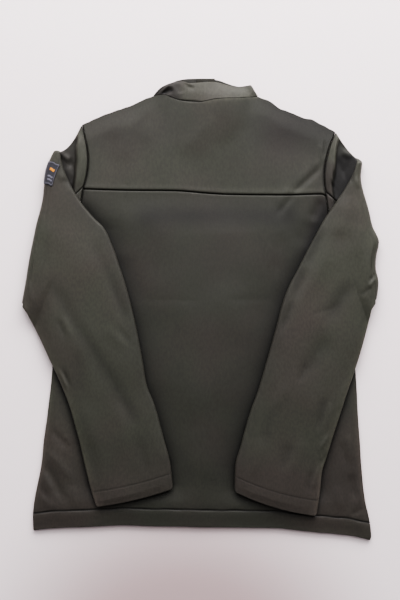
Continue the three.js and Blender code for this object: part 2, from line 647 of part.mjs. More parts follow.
const pieces = [
  ['back_body', flatPanel(backBody, backColumns, bodyRows, backTop), olive],
  ['back_yoke', flatPanel(backYoke, backColumns, yokeRows, backTop), olive],
  ['front_left', flatPanel(leftFront, leftFrontColumns, frontRows, flat), olive],
  ['front_right', flatPanel(rightFront, rightFrontColumns, frontRows, flat), olive],
  ['collar', collar(), oliveDark],
  ['sleeve_left_upper', sleevePiece(left, upperColumns), olive],
  ['sleeve_left_lower', sleevePiece(left, lowerColumns), olive],
  ['sleeve_right_upper', sleevePiece(right, upperColumns), olive],
  ['sleeve_right_lower', sleevePiece(right, lowerColumns), olive],
  ['sleeve_patch', sleevePiece(left, patchColumns, wall + seam, patchThick, patchSteps), slate],
  ['front_zip', frontZip(), zipCloth],
  ['zip_slider', slider(), zipMetal],
  ['zip_pull_tab', pullTab(), zipMetal],
];

const group = new THREE.Group();
for (const [name, geometry, material] of pieces) {
  const mesh = new THREE.Mesh(geometry, material.clone());
  mesh.name = name;
  mesh.position.set(-middle.x, -middle.y, 0);
  group.add(mesh);
}

export default group;
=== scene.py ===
# %% [markdown]
# # A softshell jacket, laid face down with its sleeves folded over its back
# The jacket is cut from one cloth: a tightly woven face bonded to thin fleece, about 2 mm thick.
# Each cut piece is made here as a thin closed shell of that thickness, worked out with numpy on
# a grid, so that the folds, seams and hems are real shapes that the light can catch.
# All sizes are in millimetres until the last step, which makes a mesh in metres.

# %% Load the frame
import bpy
import numpy as np
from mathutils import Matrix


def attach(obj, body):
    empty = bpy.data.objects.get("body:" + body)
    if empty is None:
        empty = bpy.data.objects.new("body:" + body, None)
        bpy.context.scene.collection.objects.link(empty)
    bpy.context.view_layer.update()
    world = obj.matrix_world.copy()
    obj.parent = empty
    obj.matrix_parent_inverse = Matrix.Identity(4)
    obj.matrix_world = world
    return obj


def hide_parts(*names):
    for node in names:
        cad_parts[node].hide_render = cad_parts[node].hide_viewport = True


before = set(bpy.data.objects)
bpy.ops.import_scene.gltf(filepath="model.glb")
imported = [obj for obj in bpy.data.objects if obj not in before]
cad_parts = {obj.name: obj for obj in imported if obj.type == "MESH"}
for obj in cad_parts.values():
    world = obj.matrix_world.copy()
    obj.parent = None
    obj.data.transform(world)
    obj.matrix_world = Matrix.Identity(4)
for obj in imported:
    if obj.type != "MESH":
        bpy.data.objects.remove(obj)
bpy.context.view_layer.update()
MM = 0.001

# %% [markdown]
# ## Sizes of the cloth and of the way it lies
# The same few sizes drive the solids of the frame: the cloth's thickness, the gap left at a seam,
# the air inside the flat body and sleeves, and how far the neck is lifted by the standing collar.

# %% Sizes
WALL = 2.0  # thickness of the cloth
SEAM = 0.3  # gap between two pieces that are sewn together
ARMHOLE_SEAM = 0.5  # the wider gap at an armhole
AIR = 3.4  # most air between the fronts and the back
BACK_BASE = WALL + SEAM + WALL  # top of the back where it lies on the fronts
SLEEVE_LOFT = 7.8  # height of a flat sleeve at armhole and fold
CUFF_LOFT = 6.6  # and at its cuff
FOLD_GAP = 3.2  # air inside the fold of a sleeve
REST_GAP = 0.6  # between a folded sleeve and what it lies on
DROOP = 46.0  # how far past an edge a sleeve takes to come down to the floor
UNDER_SEAM = 0.92  # where the lower back seam of a sleeve runs, 0 over-arm to 1 under-arm
BACK_SEAM = 0.45  # the same for the upper back seam
SEAM_SHARE = 0.0006  # half the gap of those two seams, in shares of a sleeve's width
HEM_DEPTH = 28.0  # turned hem, up to its row of stitching
CUFF_DEPTH = 26.0  # the same for a turned cuff
HEM_PROUD = 0.7  # how far the turned hem stands up
NECK_RISE = 8.0  # how far the collar lifts the back at the neck
NECK_PEAK = 40.0  # the neck stands highest right of the middle
NECK_REACH = 130.0  # how far down the back that lift reaches
ZIP_HALF = 4.5  # half the width that the zip bridges between the fronts
FAR = 400  # a distance that no seam reaches
MIDDLE = np.array([-0.06, -0.76, 0.0])  # of the tables below, moved to the origin
print("cloth", WALL, "mm thick, the back lies", BACK_BASE, "mm up")

# %% [markdown]
# ## Outline tables
# A garment is an outline before it is anything else. Each table holds one row for each bend of
# an edge of the laid jacket, +X to its right and +Y from hem to collar.

# %% Outline tables
LEFT_SIDE = [  # y, x
    (-366, -276), (-342, -277), (-307, -273), (-269, -265), (-203, -257), (-133, -248),
    (-35, -241), (40, -235), (78, -229), (110, -218), (147, -205), (179, -197.5), (202, -193),
    (221, -188), (246, -185.5), (270, -188), (304, -196)]
RIGHT_SIDE = [  # y, x
    (-381.5, 280), (-376, 282), (-348, 279), (-327, 274), (-300, 269.5), (-274, 267),
    (-203, 262), (-99, 256), (-35, 252), (30, 247), (73, 240), (105, 229), (144, 215),
    (175, 209), (206, 205), (221, 204), (249, 208), (276, 216), (292, 223)]
HEM = [  # x, y
    (-276, -366), (-260, -363.6), (-232, -361.6), (-185, -359.8), (-126, -357.1), (-80, -358.6),
    (-27, -359.3), (0, -360.2), (64, -360.9), (126, -361.9), (158, -365.4), (189, -368.8),
    (215, -371), (252, -375.4), (280, -382)]
YOKE = [  # x, y
    (-192, 198), (-130, 196), (-40, 195), (0, 192), (47, 189), (141, 188), (200, 189.5),
    (208, 186)]
LEFT_SHOULDER = [  # x, y
    (-196, 304), (-180, 311.6), (-165, 318.3), (-142, 327), (-129, 331.2), (-112, 337.2),
    (-94, 346), (-78, 352)]
BACK_NECK = [  # x, y
    (-78, 352), (-62, 354), (-45, 348), (-31, 344), (0, 341.5), (27, 346), (65, 348), (95, 351)]
RIGHT_SHOULDER = [  # x, y
    (95, 351), (118, 341.1), (130, 331.6), (144, 326.6), (158, 320.8), (166, 317.4),
    (174, 314.6), (183, 313.6), (194, 307.8), (208, 300.6), (223, 292)]
FRONT_NECK = [  # x, y
    (-78, 352), (-66, 341), (-35, 325), (8, 317), (50, 325), (82, 341), (95, 351)]
BACK_RIM = [  # x, y
    (-50, 372.5), (-40, 375.5), (-30, 375.5), (-19, 372.5), (0, 373.7), (20, 375), (37, 371.8),
    (48, 368.8), (64, 366), (84, 369.2)]
FRONT_RIM = [  # x, y
    (-50, 373), (-41, 377), (-32, 379.3), (-20, 380.8), (6, 381.3), (24, 379.5), (37, 375.8),
    (50, 370.9), (64, 367.9), (84, 370.8)]
LEFT_SECTIONS = [  # of the folded sleeve: over-arm x, y on the inside, under-arm x, y, bow
    (-227, 236, -286.5, -4, 0), (-216, 209, -283, -13, 0), (-199, 179, -277, -25, 0),
    (-178, 153, -269, -41, 0), (-158, 132, -261, -57, 0), (-145, 104, -254, -72, 0),
    (-133, 70, -246, -89, 0), (-120, 28, -236, -110, 0), (-106, -30, -225, -136, 0),
    (-96, -82, -216, -160, 0), (-89, -123, -209, -184, 0), (-75, -160, -200, -217, 1),
    (-61, -211, -190, -260, 2), (-50, -254, -181, -296, 3), (-45, -296, -172, -326, 3.5)]
RIGHT_SECTIONS = [  # the same columns
    (252, 225, 281.5, 2, 0), (240, 202, 280, -9, 0), (223, 176, 277, -22, 0),
    (204, 148, 273, -38, 0), (187, 117, 268, -56, 0), (165, 75, 262, -77, 0),
    (139, 22, 253, -105, 0), (123, -36, 243, -134, 0), (108, -89, 231, -171, 0),
    (95, -133, 219, -208, 1), (80, -175, 208, -243, 2), (68, -218, 200, -270, 3),
    (57, -262, 197, -300, 5), (56, -301, 191, -341, 6)]
print("the hem spans", HEM[-1][0] - HEM[0][0], "mm")

# %% [markdown]
# ## Smooth lines through a few rows
# An edge drawn through a handful of points must not swing past them, or a hem would wave where
# the real one is straight. The slope at each row is the harmonic mean of the rises on its two
# sides, and level where the line turns back, which is what a tailor's curve does too.

# %% Smooth lines
def mix(a, b, t):
    """From a at t = 0 to b at t = 1 in a straight line."""
    return a + (b - a) * t


def ease(start, end, t):
    """0 before start and 1 after end, with a soft S between: 3k^2 - 2k^3."""
    k = np.clip((t - start) / (end - start), 0, 1)
    return k * k * (3 - 2 * k)


def bell(distance, half):
    """1 at no distance and falling away on both sides of it: e to the -(distance / half)^2."""
    return np.exp(-((distance / half) ** 2))


def smooth_line(rows):
    """A function through (at, value) rows. Between two rows it mixes two short arcs that leave
    each row with that row's slope, by the same S as ease, and it is level beyond the ends."""
    at, value = (np.array(column, float) for column in zip(*rows))
    step = np.diff(at)
    rise = np.diff(value) / step
    before, after = rise[:-1], rise[1:]
    turns = before * after <= 0
    total = np.where(turns, 1, before + after)
    slope = np.concatenate([rise[:1], np.where(turns, 0, 2 * before * after / total), rise[-1:]])

    def line(x):
        """The value at x, from the arcs of the two rows round it."""
        x = np.clip(x, at[0], at[-1])
        i = np.clip(np.searchsorted(at, x, side="right") - 1, 0, len(step) - 1)
        t = (x - at[i]) / step[i]
        arc = step[i] * t * (1 - t)
        start = value[i] + slope[i] * arc
        end = value[i + 1] - slope[i + 1] * arc
        return mix(start, end, t * t * (3 - 2 * t))

    return line


print("a soft S from 0 to 1:", ease(0, 1, np.linspace(0, 1, 5)).round(2))

# %% [markdown]
# With that, every table becomes a line that can be asked for any place along it. The zip lies
# half way between the two ends of the neck seam.

# %% Edges of the jacket
left_of, right_of = smooth_line(LEFT_SIDE), smooth_line(RIGHT_SIDE)
hem_of, yoke_of = smooth_line(HEM), smooth_line(YOKE)
left_shoulder_of, right_shoulder_of = smooth_line(LEFT_SHOULDER), smooth_line(RIGHT_SHOULDER)
back_neck_of, front_neck_of = smooth_line(BACK_NECK), smooth_line(FRONT_NECK)
back_rim_of, front_rim_of = smooth_line(BACK_RIM), smooth_line(FRONT_RIM)
NECK_LEFT, NECK_RIGHT = BACK_NECK[0][0], BACK_NECK[-1][0]
ZIP_X = (NECK_LEFT + NECK_RIGHT) / 2


def top_edge(neck_of):
    """The top edge of the back or the fronts: a shoulder, the neck, the other shoulder."""
    def edge(x):
        """y of the edge at x."""
        ends = np.where(x < NECK_LEFT, left_shoulder_of(x), right_shoulder_of(x))
        return np.where((x < NECK_LEFT) | (x > NECK_RIGHT), ends, neck_of(x))
    return edge


back_top_edge = top_edge(back_neck_of)
front_top_edge = top_edge(front_neck_of)
print("the neck seam spans", NECK_RIGHT - NECK_LEFT, "mm, with the zip at", ZIP_X)

# %% [markdown]
# ## Folds and creases
# Softshell is springy: it makes long soft folds and a few short pinches, and hardly any sharp
# creases. Each row is one of them: a line from one point to another, its half width and its
# height, below zero for a trough.

# %% Fold tables
BACK_FOLDS = [  # x1, y1, x2, y2, half, height
    (207, 280, 203, 246, 3, -1.2), (200, 276, 200, 240, 3, 0.9), (210, 245, 146, 184, 5, -1.3),
    (200, 252, 156, 208, 8, 0.4), (158, 194, 122, 148, 6, -1.0), (170, 200, 132, 152, 8, 0.4),
    (150, 206, 124, 168, 9, 0.7), (203, 186, 182, 142, 9, -1.8), (184, 150, 162, 100, 13, -0.9),
    (-128, 209, -118, 200, 2.2, -0.5), (-112, 322, -136, 236, 17, 0.7),
    (-146, 300, -160, 222, 14, -0.6), (-88, 290, -104, 226, 13, -0.6),
    (-40, 250, 30, 322, 14, 0.7), (22, 252, 88, 312, 14, -0.6), (-92, 302, -58, 336, 12, -0.6),
    (115, 108, 110, 68, 2.6, 0.6), (111, 104, 106, 66, 3.4, -0.5),
    (136, 130, 122, 46, 11, -0.8), (-116, 16, 20, 13, 5, -0.3), (30, 15, 126, 16, 5, -0.3),
    (-156, 156, -120, 84, 16, -0.7), (-128, 96, -98, 4, 14, -0.6), (40, 60, 70, -60, 26, 0.5),
    (-30, -40, -10, -190, 28, 0.6), (20, -120, 36, -260, 22, -0.5),
    (-40, -268, 40, -300, 18, -0.6), (-262, -246, -220, -326, 7, -2.1),
    (-256, -228, -208, -288, 7, 1.3),
    (-252, -194, -214, -234, 6, -1.2), (-223, -205, -216, -228, 3, 0.8),
    (-265, -262, -244, -304, 5, 1.3), (-270, -284, -250, -320, 4, -1.2),
    (-268, -302, -238, -335, 6, 1.0), (-214, -290, -202, -332, 7, 0.7),
    (244, -200, 250, -260, 8, 0.9), (232, -214, 240, -262, 6, -0.9),
    (248, -268, 255, -320, 6, -1.6), (262, -282, 268, -330, 4.4, 1.5),
    (272, -328, 246, -341, 3, -1.0), (222, -286, 234, -334, 8, 0.8)]
HEAD_FOLDS = [  # on the part of each sleeve that isn't turned over
    (-236, 262, -212, 241, 3.6, 2.2), (-216, 251, -213, 232, 3, -2.0),
    (-222, 236, -210, 214, 5, 0.8),
    (232, 262, 252, 250, 5, 2.2), (226, 252, 236, 220, 5, -1.2), (246, 244, 232, 212, 6, -0.8)]
SLEEVE_FOLDS = [  # on the part that is turned over
    (-248, 52, -202, -36, 12, -0.9), (-218, -6, -162, -92, 12, -1.1),
    (-184, -62, -126, -148, 12, -1.1), (-146, -118, -100, -200, 11, -1.1),
    (-184, 124, -142, 34, 11, -0.7), (-154, 66, -119, -32, 9, -1.1),
    (-283, 50, -277, 8, 4, 1.0), (-236, -12, -222, -50, 5, -0.8),
    (-226, -8, -212, -52, 6, 0.7), (-160, -28, -120, -66, 9, 0.7), (-138, -30, -112, -60, 5, -0.7),
    (-234, -98, -219, -132, 2.6, 1.7), (-228, -96, -213, -132, 3.4, -1.0),
    (-228, 216, -206, 198, 4.4, -1.0), (-236, 226, -222, 210, 5, 0.9),
    (-258, 196, -262, 96, 14, 0.8), (-226, 150, -200, 30, 20, 0.7), (-252, 130, -258, 60, 9, -0.6),
    (-205, -56, -196, -160, 12, -0.7), (-190, -150, -176, -240, 12, 0.7),
    (-186, -200, -168, -286, 11, -0.6), (-104, -206, -82, -284, 9, -0.7),
    (-140, -150, -126, -240, 13, 0.7), (-80, -190, -62, -262, 8, 0.5),
    (202, 136, 170, 60, 9, -1.2), (176, 72, 150, 8, 8, -1.1), (154, 20, 132, -42, 7, -1.0),
    (228, 120, 160, 0, 15, 1.0), (252, 52, 204, -28, 13, -1.5), (214, -38, 166, -112, 14, -1.0),
    (240, 192, 226, 110, 18, 1.4), (290, 52, 274, 34, 2.6, 1.5), (290, 62, 276, 44, 2.8, -1.3),
    (282, 36, 262, 22, 4, -0.7), (168, -13, 240, 9, 4, -0.3),
    (255, 218, 262, 198, 5, 1.4), (246, 226, 250, 204, 4, -0.8), (271, 190, 279, 140, 6, -0.7),
    (262, 150, 254, 76, 10, 0.7), (176, -86, 162, -124, 7, -0.9), (140, -120, 124, -170, 7, 0.7),
    (206, -138, 192, -204, 7, -1.0), (218, -146, 206, -212, 6, 0.8),
    (150, -216, 132, -270, 9, -0.8), (168, -206, 152, -280, 9, 0.7),
    (215, -200, 194, -236, 4.4, 1.4), (210, -236, 196, -258, 4, -1.0),
    (195, -256, 184, -300, 4, 0.9), (182, -262, 176, -306, 6, -0.7), (240, -112, 226, -172, 6, 0.8),
    (102, -206, 84, -286, 9, 0.6), (122, -156, 102, -236, 9, -0.6), (232, 134, 212, 74, 9, -0.5)]
print(len(BACK_FOLDS), "folds on the back,", len(SLEEVE_FOLDS), "on the sleeves")

# %% [markdown]
# Across its line a fold is a bell curve, and it fades out at both ends. On top of the folds the
# whole cloth swells and sinks by a fraction of a millimetre, in a few long waves, which is what
# keeps a laid panel from looking like board.

# %% Folds and swell
FOLD_FADE = 0.35  # share of its length over which a fold fades in, and out again


def relief(folds, x, y):
    """Height of a set of folds. For each one: run is the way along its line and across the way
    from it, and its height is a bell of across times an S in and out along the run."""
    height = np.zeros(np.broadcast(x, y).shape)
    for x1, y1, x2, y2, half, rise in folds:
        length = np.hypot(x2 - x1, y2 - y1)
        ux, uy = (x2 - x1) / length, (y2 - y1) / length
        run = (x - x1) * ux + (y - y1) * uy
        across = (y - y1) * ux - (x - x1) * uy
        fade = FOLD_FADE * length
        taper = ease(0, fade, run) * ease(length, length - fade, run)
        height += rise * taper * bell(across, half)
    return height


SWELLS = [  # wavelength, heading in degrees, phase, height
    (163, 17, 0.4, 0.24), (121, 74, 1.9, 0.18), (89, 128, 3.1, 0.10), (71, 41, 4.4, 0.07),
    (53, 101, 0.9, 0.04)]


def swell(x, y):
    """The slow unevenness of a laid cloth: a sum of sine waves of unlike length and heading."""
    height = np.zeros(np.broadcast(x, y).shape)
    for wavelength, heading, phase, rise in SWELLS:
        angle = np.radians(heading)
        way = x * np.cos(angle) + y * np.sin(angle)
        height += rise * np.sin(2 * np.pi * way / wavelength + phase)
    return height


print("the cloth swells by up to", round(sum(wave[3] for wave in SWELLS), 2), "mm")

# %% [markdown]
# ## Seams
# Where two pieces are sewn, both turn down into the seam, so a seam is a narrow valley that
# hardly any light reaches. The valley is modelled, and each vertex also keeps how deep it
# lies in a seam, which darkens the cloth there as lint and shadow do.

# %% Seam profile
SEAM_TURN = 1.5  # how deep the cloth turns down at a seam
SEAM_HALF = 1.5  # half width of that valley
YOKE_HALF = 1.15  # the yoke's seam is the tightest
ARMHOLE_HALF, ARMHOLE_GAPE = 1.0, 1.3  # an armhole's, and how much wider it gapes
HEM_WANDER = 0.5  # how far the hem's stitching strays from its line
STITCH_PITCH = 3.2  # one stitch of the hem and cuffs, about 8 to the inch
GROOVE_HALF = 1.5  # half width of the groove that a row of stitches pulls into the cloth


def roll(distance, depth=SEAM_TURN, half=SEAM_HALF):
    """How far cloth turns down near a seam: a bell of the distance to it."""
    return -depth * bell(distance, half)


def seam_depth(distance, half=SEAM_HALF):
    """How deep a point lies in a seam, 1 on its line: the same bell."""
    return bell(distance, half)


def armhole_half(y):
    """Half width of an armhole seam, which gapes half way down."""
    return ARMHOLE_HALF + ARMHOLE_GAPE * ease(290, 225, y) * ease(170, 205, y)


def stitch_groove(distance, run):
    """A stitched line: a groove across distance that dips deeper at each stitch along run."""
    dips = 0.75 + 0.25 * np.cos(2 * np.pi * run / STITCH_PITCH)
    return -dips * bell(distance, GROOVE_HALF)


print("an armhole seam gapes", 2 * float(armhole_half(215)), "mm half way down")

# %% [markdown]
# ## A wall of cloth from two grids
# A cut piece has an outer and an inner face. Both are grids of points, and joining their
# borders closes the shell. The grid is finer at edges and seams, where cloth bends most.

# %% Grid of a wall
FINE_STEPS = (0.35, 0.8, 1.4, 2.2, 3.4)  # mm from an edge or a seam, where cloth bends most
LEAST_STEP = 0.3


def grid_lines(length, step, close=()):
    """Shares 0 to 1 of a length in mm: even steps, with finer ones round each place in close."""
    even = np.linspace(0, length, int(round(length / step)) + 1)
    near = [place + side * gap for place in close for gap in (0, *FINE_STEPS) for side in (-1, 1)]
    lines = np.unique(np.clip(np.concatenate([even, near]), 0, length).round(3))
    keep = np.concatenate([[True], np.diff(lines) > LEAST_STEP])
    keep[-2:] = [lines[-1] - lines[-2] > LEAST_STEP, True]
    return lines[keep] / length


def wall_faces(columns, rows):
    """Quads of a closed wall: outer grid, inner grid turned round, and four borders."""
    count = columns * rows
    outer = np.arange(count).reshape(columns, rows)
    inner = outer + count

    def quads(a, b, c, d):
        """One quad for each four corners that match."""
        return np.stack([a, b, c, d], axis=-1).reshape(-1, 4)

    return np.concatenate([
        quads(outer[:-1, :-1], outer[1:, :-1], outer[1:, 1:], outer[:-1, 1:]),
        quads(inner[:-1, :-1], inner[:-1, 1:], inner[1:, 1:], inner[1:, :-1]),
        quads(outer[:-1, 0], inner[:-1, 0], inner[1:, 0], outer[1:, 0]),
        quads(outer[:-1, -1], outer[1:, -1], inner[1:, -1], inner[:-1, -1]),
        quads(outer[0, :-1], outer[0, 1:], inner[0, 1:], inner[0, :-1]),
        quads(outer[-1, :-1], inner[-1, :-1], inner[-1, 1:], outer[-1, 1:])])


def volume(points, faces):
    """Volume inside quads, from the signed tetrahedra between each half quad and the origin."""
    a, b, c, d = (points[faces[:, k]] for k in range(4))
    halves = np.einsum("ij,ij->i", a, np.cross(b, c)) + np.einsum("ij,ij->i", a, np.cross(c, d))
    return halves.sum() / 6


def facing_out(points, faces):
    """The faces, turned round where they point inwards, which a volume below 0 gives away."""
    return faces[:, ::-1] if volume(points, faces) < 0 else faces


print("10 mm of cloth from an edge is cut at", (10 * grid_lines(10, 5, (0,))).round(2))

# %% [markdown]
# A mesh takes all its points from one array. The piece's own UV map holds millimetres of cloth
# turned to metres, measured along its middle lines, so the weave follows a sleeve round its
# fold. What each point knows of its seam, its tone and its painted shade and light is kept
# beside it as numbers.

# %% Mesh of a wall
PIECES = {}
INNER_SEAM = 0.6  # a seam shows less on the fleece side


def make_mesh(name, points, faces, uv=None, attributes=None):
    """A smooth-shaded object from points in mm and quads, its UV map and point attributes."""
    mesh = bpy.data.meshes.new(name)
    mesh.from_pydata(((points - MIDDLE) * MM).tolist(), [], faces.tolist())
    mesh.shade_smooth()
    if uv is not None:
        layer = mesh.uv_layers.new(name="cloth")
        layer.data.foreach_set("uv", (uv[faces.ravel()] * MM).ravel())
    for label, values in (attributes or {}).items():
        attribute = mesh.attributes.new(label, "FLOAT", "POINT")
        attribute.data.foreach_set("value", values.ravel())
    mesh.update()
    piece = bpy.data.objects.new(name, mesh)
    bpy.context.scene.collection.objects.link(piece)
    PIECES[name] = piece
    return piece


def cloth_wall(name, outer, inner, seam, warm=0.0, deep=0.0):
    """The closed wall between an outer and an inner grid of points (columns, rows, 3). seam,
    warm and deep say how far each point lies in a seam, how brown its cloth is and how dark its
    colour is made, painted shade and light included."""
    columns, rows = outer.shape[:2]
    points = np.concatenate([outer.reshape(-1, 3), inner.reshape(-1, 3)])
    faces = facing_out(points, wall_faces(columns, rows))
    across = np.linalg.norm(np.diff(outer, axis=0), axis=2).mean(axis=1)
    along = np.linalg.norm(np.diff(outer, axis=1), axis=2).mean(axis=0)
    u = np.concatenate([[0], np.cumsum(across)])[:, None] + np.zeros((1, rows))
    v = np.concatenate([[0], np.cumsum(along)])[None, :] + np.zeros((columns, 1))
    uv = np.stack([u, v], axis=-1).reshape(-1, 2)
    seam, warm, deep = (value + np.zeros((columns, rows)) for value in (seam, warm, deep))
    attributes = {"seam": np.concatenate([seam.ravel(), INNER_SEAM * seam.ravel()]),
                  "warm": np.tile(warm.ravel(), 2), "deep": np.tile(deep.ravel(), 2)}
    piece = make_mesh(name, points, faces, np.concatenate([uv, uv]), attributes)
    print(f"{name}: {2 * len(faces)} triangles, {abs(volume(points, faces)) / WALL / 1e6:.4f} m2")
    return piece


def edge_round(distance):
    """Share of full thickness near an edge of the cloth, a half circle of 1 mm radius."""
    return np.sqrt(np.clip(1 - (1 - np.clip(distance, 0.03, 1)) ** 2, 0, 1))


print("half a millimetre in, an edge has", round(float(edge_round(0.5)), 2), "of its thickness")

# %% [markdown]
# ## The back: body and yoke
# The back is the largest thing that shows. It lies on the fronts at its free edges, floats on
# a little air elsewhere, rises to the armholes and to the neck, and dips in its seams.

# %% Height of the back
PRESS = 3.4  # how deep a sleeve's weight presses the back
PRESS_REACH = 17.0  # how fast that fades beside the sleeve
BULGE = 3.2  # how much higher the back stands between the two sleeves
SLANT = 0.94  # turns a level distance to one square to a sleeve's slanting edge
FOLD_FADE_Y = (206, 150)  # y between which a folded sleeve comes to rest on the back


def from_side_edge(x, y):
    """Distance in from the nearer side edge of the body."""
    return np.minimum(x - left_of(y), right_of(y) - x)


def beside_sleeve(sections, outward, x, y):
    """Distance from the turned-over sleeve, toward the middle of the back and toward its side.
    Both are measured level and turned to the slant of the edge, and both are below 0 under it."""
    ax, ay, bx, by, _ = np.array(sections, float).T
    inner = outward * (np.interp(y, ay[::-1], ax[::-1]) - x) * SLANT
    outer = outward * (x - np.interp(y, by[::-1], bx[::-1])) * SLANT
    return inner, outer


def sleeve_weight(x, y):
    """The back sinks under each sleeve and swells up between them: an exponential return from
    each pressed edge, plus an S up to the middle."""
    height = np.zeros(np.broadcast(x, y).shape)
    for sections, outward in ((LEFT_SECTIONS, -1), (RIGHT_SECTIONS, 1)):
        inner, outer = beside_sleeve(sections, outward, x, y)
        away = np.maximum(np.maximum(inner, outer), 0)
        cuff_y = sections[-1][1]
        along = ease(*FOLD_FADE_Y, y) * ease(cuff_y - 26, cuff_y + 6, y)
        height -= PRESS * np.exp(-away / PRESS_REACH) * along
    left_inner, _ = beside_sleeve(LEFT_SECTIONS, -1, x, y)
    right_inner, _ = beside_sleeve(RIGHT_SECTIONS, 1, x, y)
    between = ease(0, 95, np.minimum(left_inner, right_inner))
    return height + BULGE * between * ease(190, 120, y) * ease(-345, -270, y)


def back_sheet(x, y):
    """Height of the back's outer face before its seams: the layers under it, plus air that
    fades to each edge, plus the lift at the neck, plus folds and swell, less what the sleeves
    press down, and never lower than it can lie on the fronts."""
    from_side = from_side_edge(x, y)
    at_armhole = ease(55, 100, y)
    side_air = mix(ease(-4, 14, from_side), 1, at_armhole)
    in_neck = ease(NECK_LEFT, NECK_LEFT + 25, x) * ease(NECK_RIGHT, NECK_RIGHT - 25, x)
    below = back_top_edge(x) - y
    shoulder_air = mix(0.35 + 0.65 * ease(-3, 34, below), 1, in_neck)
    hem_air = mix(0.5, 1, ease(0, 40, y - hem_of(x)))
    far = np.where(x < NECK_PEAK, NECK_PEAK - NECK_LEFT, NECK_RIGHT - NECK_PEAK)
    across = np.clip(np.abs(x - NECK_PEAK) / far, 0, 1)
    lift = NECK_RISE * (1 - ease(0, 1, across)) * ease(NECK_REACH, 0, below)
    hem = HEM_PROUD * ease(HEM_DEPTH + 2, HEM_DEPTH - 9, y - hem_of(x))
    inside = ease(0, 12, np.minimum(from_side, y - hem_of(x) + 4))
    uneven = (relief(BACK_FOLDS, x, y) + swell(x, y)) * mix(0.35, 1, inside)
    air = AIR * side_air * shoulder_air * hem_air + lift + uneven + sleeve_weight(x, y)
    return BACK_BASE + hem + (air + np.sqrt(air * air + 0.5)) / 2


print("the back stands", round(float(back_sheet(0.0, 0.0)), 1), "mm high at its middle")

# %% [markdown]
# The back's seams are cut into that sheet: the yoke seam, both armholes and the neck, which
# hardly shows to the right, and the stitched line of the turned hem. The cloth puffs up a
# little on both sides of the yoke seam, as cloth does where its edges are turned in.

# %% Seams of the back
NECK_SEAM_DARK = 0.75  # how much the neck seam shows where it shows most
NECK_SEAM_X, NECK_SEAM_HALF = -19, 17  # where that is, and how far it goes on
NECK_ROLL = 0.9  # how deep its cloth turns down there
PUFF_LOW, PUFF_HIGH = 0.1, 0.3  # below and above the yoke seam
PUFF_AWAY, PUFF_HALF = 4.5, 3


def back_seams(x, y):
    """Distances to the seams that cross or border the back: yoke, armholes and neck."""
    yoke = np.abs(y - yoke_of(x))
    armhole = from_side_edge(x, y) + FAR * ease(90, 70, y)
    in_neck = (x > NECK_LEFT) & (x < NECK_RIGHT)
    neck = np.where(in_neck, back_neck_of(x) - y, FAR)
    return yoke, armhole, neck


def neck_line(x):
    """How much the neck seam shows: most left of the middle, hardly to the right."""
    return NECK_SEAM_DARK * bell(x - NECK_SEAM_X, NECK_SEAM_HALF)


def back_face(x, y):
    """Height and seam depth of the finished back."""
    yoke, armhole, neck = back_seams(x, y)
    below_yoke = yoke_of(x) - y
    puff = PUFF_LOW * bell(below_yoke - PUFF_AWAY, PUFF_HALF)
    puff += PUFF_HIGH * bell(below_yoke + PUFF_AWAY, PUFF_HALF)
    hem_line = y - hem_of(x) - HEM_DEPTH - HEM_WANDER * np.sin(x / 7.3) * np.sin(x / 31)
    groove = stitch_groove(hem_line, x)
    gape = armhole_half(y)
    z = back_sheet(x, y) + roll(yoke, half=YOKE_HALF) + roll(armhole, half=gape) + puff + groove
    z = z + neck_line(x) * roll(neck, NECK_ROLL)
    depth = np.maximum.reduce([
        seam_depth(yoke, YOKE_HALF), seam_depth(armhole, gape),
        neck_line(x) * seam_depth(neck, 1.0), 0.85 * seam_depth(hem_line - 0.4, 1.7)])
    return z, depth


print("at the middle the neck seam shows", round(float(neck_line(0.0)), 2), "of a full seam")

# %% [markdown]
# ## How the back is toned, with painted shade and painted light
# A jacket isn't of one tone, and some places turn browner. Many darker and paler places here are
# painted, though: painted shade beside the sleeves and where the right sleeve leaves the back,
# painted light between the sleeves' outer edges and the body's sides and round the cuffs, and
# painted highlights along the body's side edges and the yoke's edge at the neck. Painting that
# would need a picture, so it is worked out here as soft spots and bands, which each point of the
# mesh keeps as two numbers: how dark its colour is made, and how brown.

# %% Tone of the back
SLEEVE_SHADES = (  # sections, side, reach and depth of the band of painted shade beside each sleeve
    (LEFT_SECTIONS, -1, 13, 0.7), (RIGHT_SECTIONS, 1, 20, 1.1))
# painted light round each cuff, over the shadow that the cuff casts
CUFF_PALE, CUFF_PALE_REACH = 0.9, 9
# painted highlight along the yoke's edge at the neck, and on the collar's foot
NECK_PALE, NECK_PALE_HALF = 1.9, 4.2
# where the right sleeve leaves the back: painted shade there, and browner cloth
RIGHT_CORNER, RIGHT_CORNER_HALF = (204, 172, 176, 76), 10
UNDER_YOKE = 154  # y of the darker band under the yoke


def line_distance(line, x, y):
    """Distance from points to the stretch of line from x1, y1 to x2, y2."""
    x1, y1, x2, y2 = line
    share = ((x - x1) * (x2 - x1) + (y - y1) * (y2 - y1)) / ((x2 - x1) ** 2 + (y2 - y1) ** 2)
    share = np.clip(share, 0, 1)
    return np.hypot(x - mix(x1, x2, share), y - mix(y1, y2, share))


def sleeve_shade(x, y):
    """Painted shade beside a sleeve's inner edge, fading like the pressed trough, and painted light
    that lightens the cloth between its outer edge and the body's side, and round its cuff."""
    shade = 0
    for sections, outward, reach, most in SLEEVE_SHADES:
        inner, outer = beside_sleeve(sections, outward, x, y)
        near = np.exp(-np.maximum(inner, 0) / reach)
        shade = shade + most * near * ease(*FOLD_FADE_Y, y) * ease(sections[-1][1] - 40, -240, y)
        bare = ease(-1, 3, outer) * (1.1 + 0.5 * np.exp(-np.maximum(outer, 0) / 14))
        shade = shade - bare * ease(-325, -215, y) * ease(90, 40, y)
        cuff_line = sections[-1][:4]
        shade = shade - CUFF_PALE * np.exp(-line_distance(cuff_line, x, y) / CUFF_PALE_REACH)
    return shade


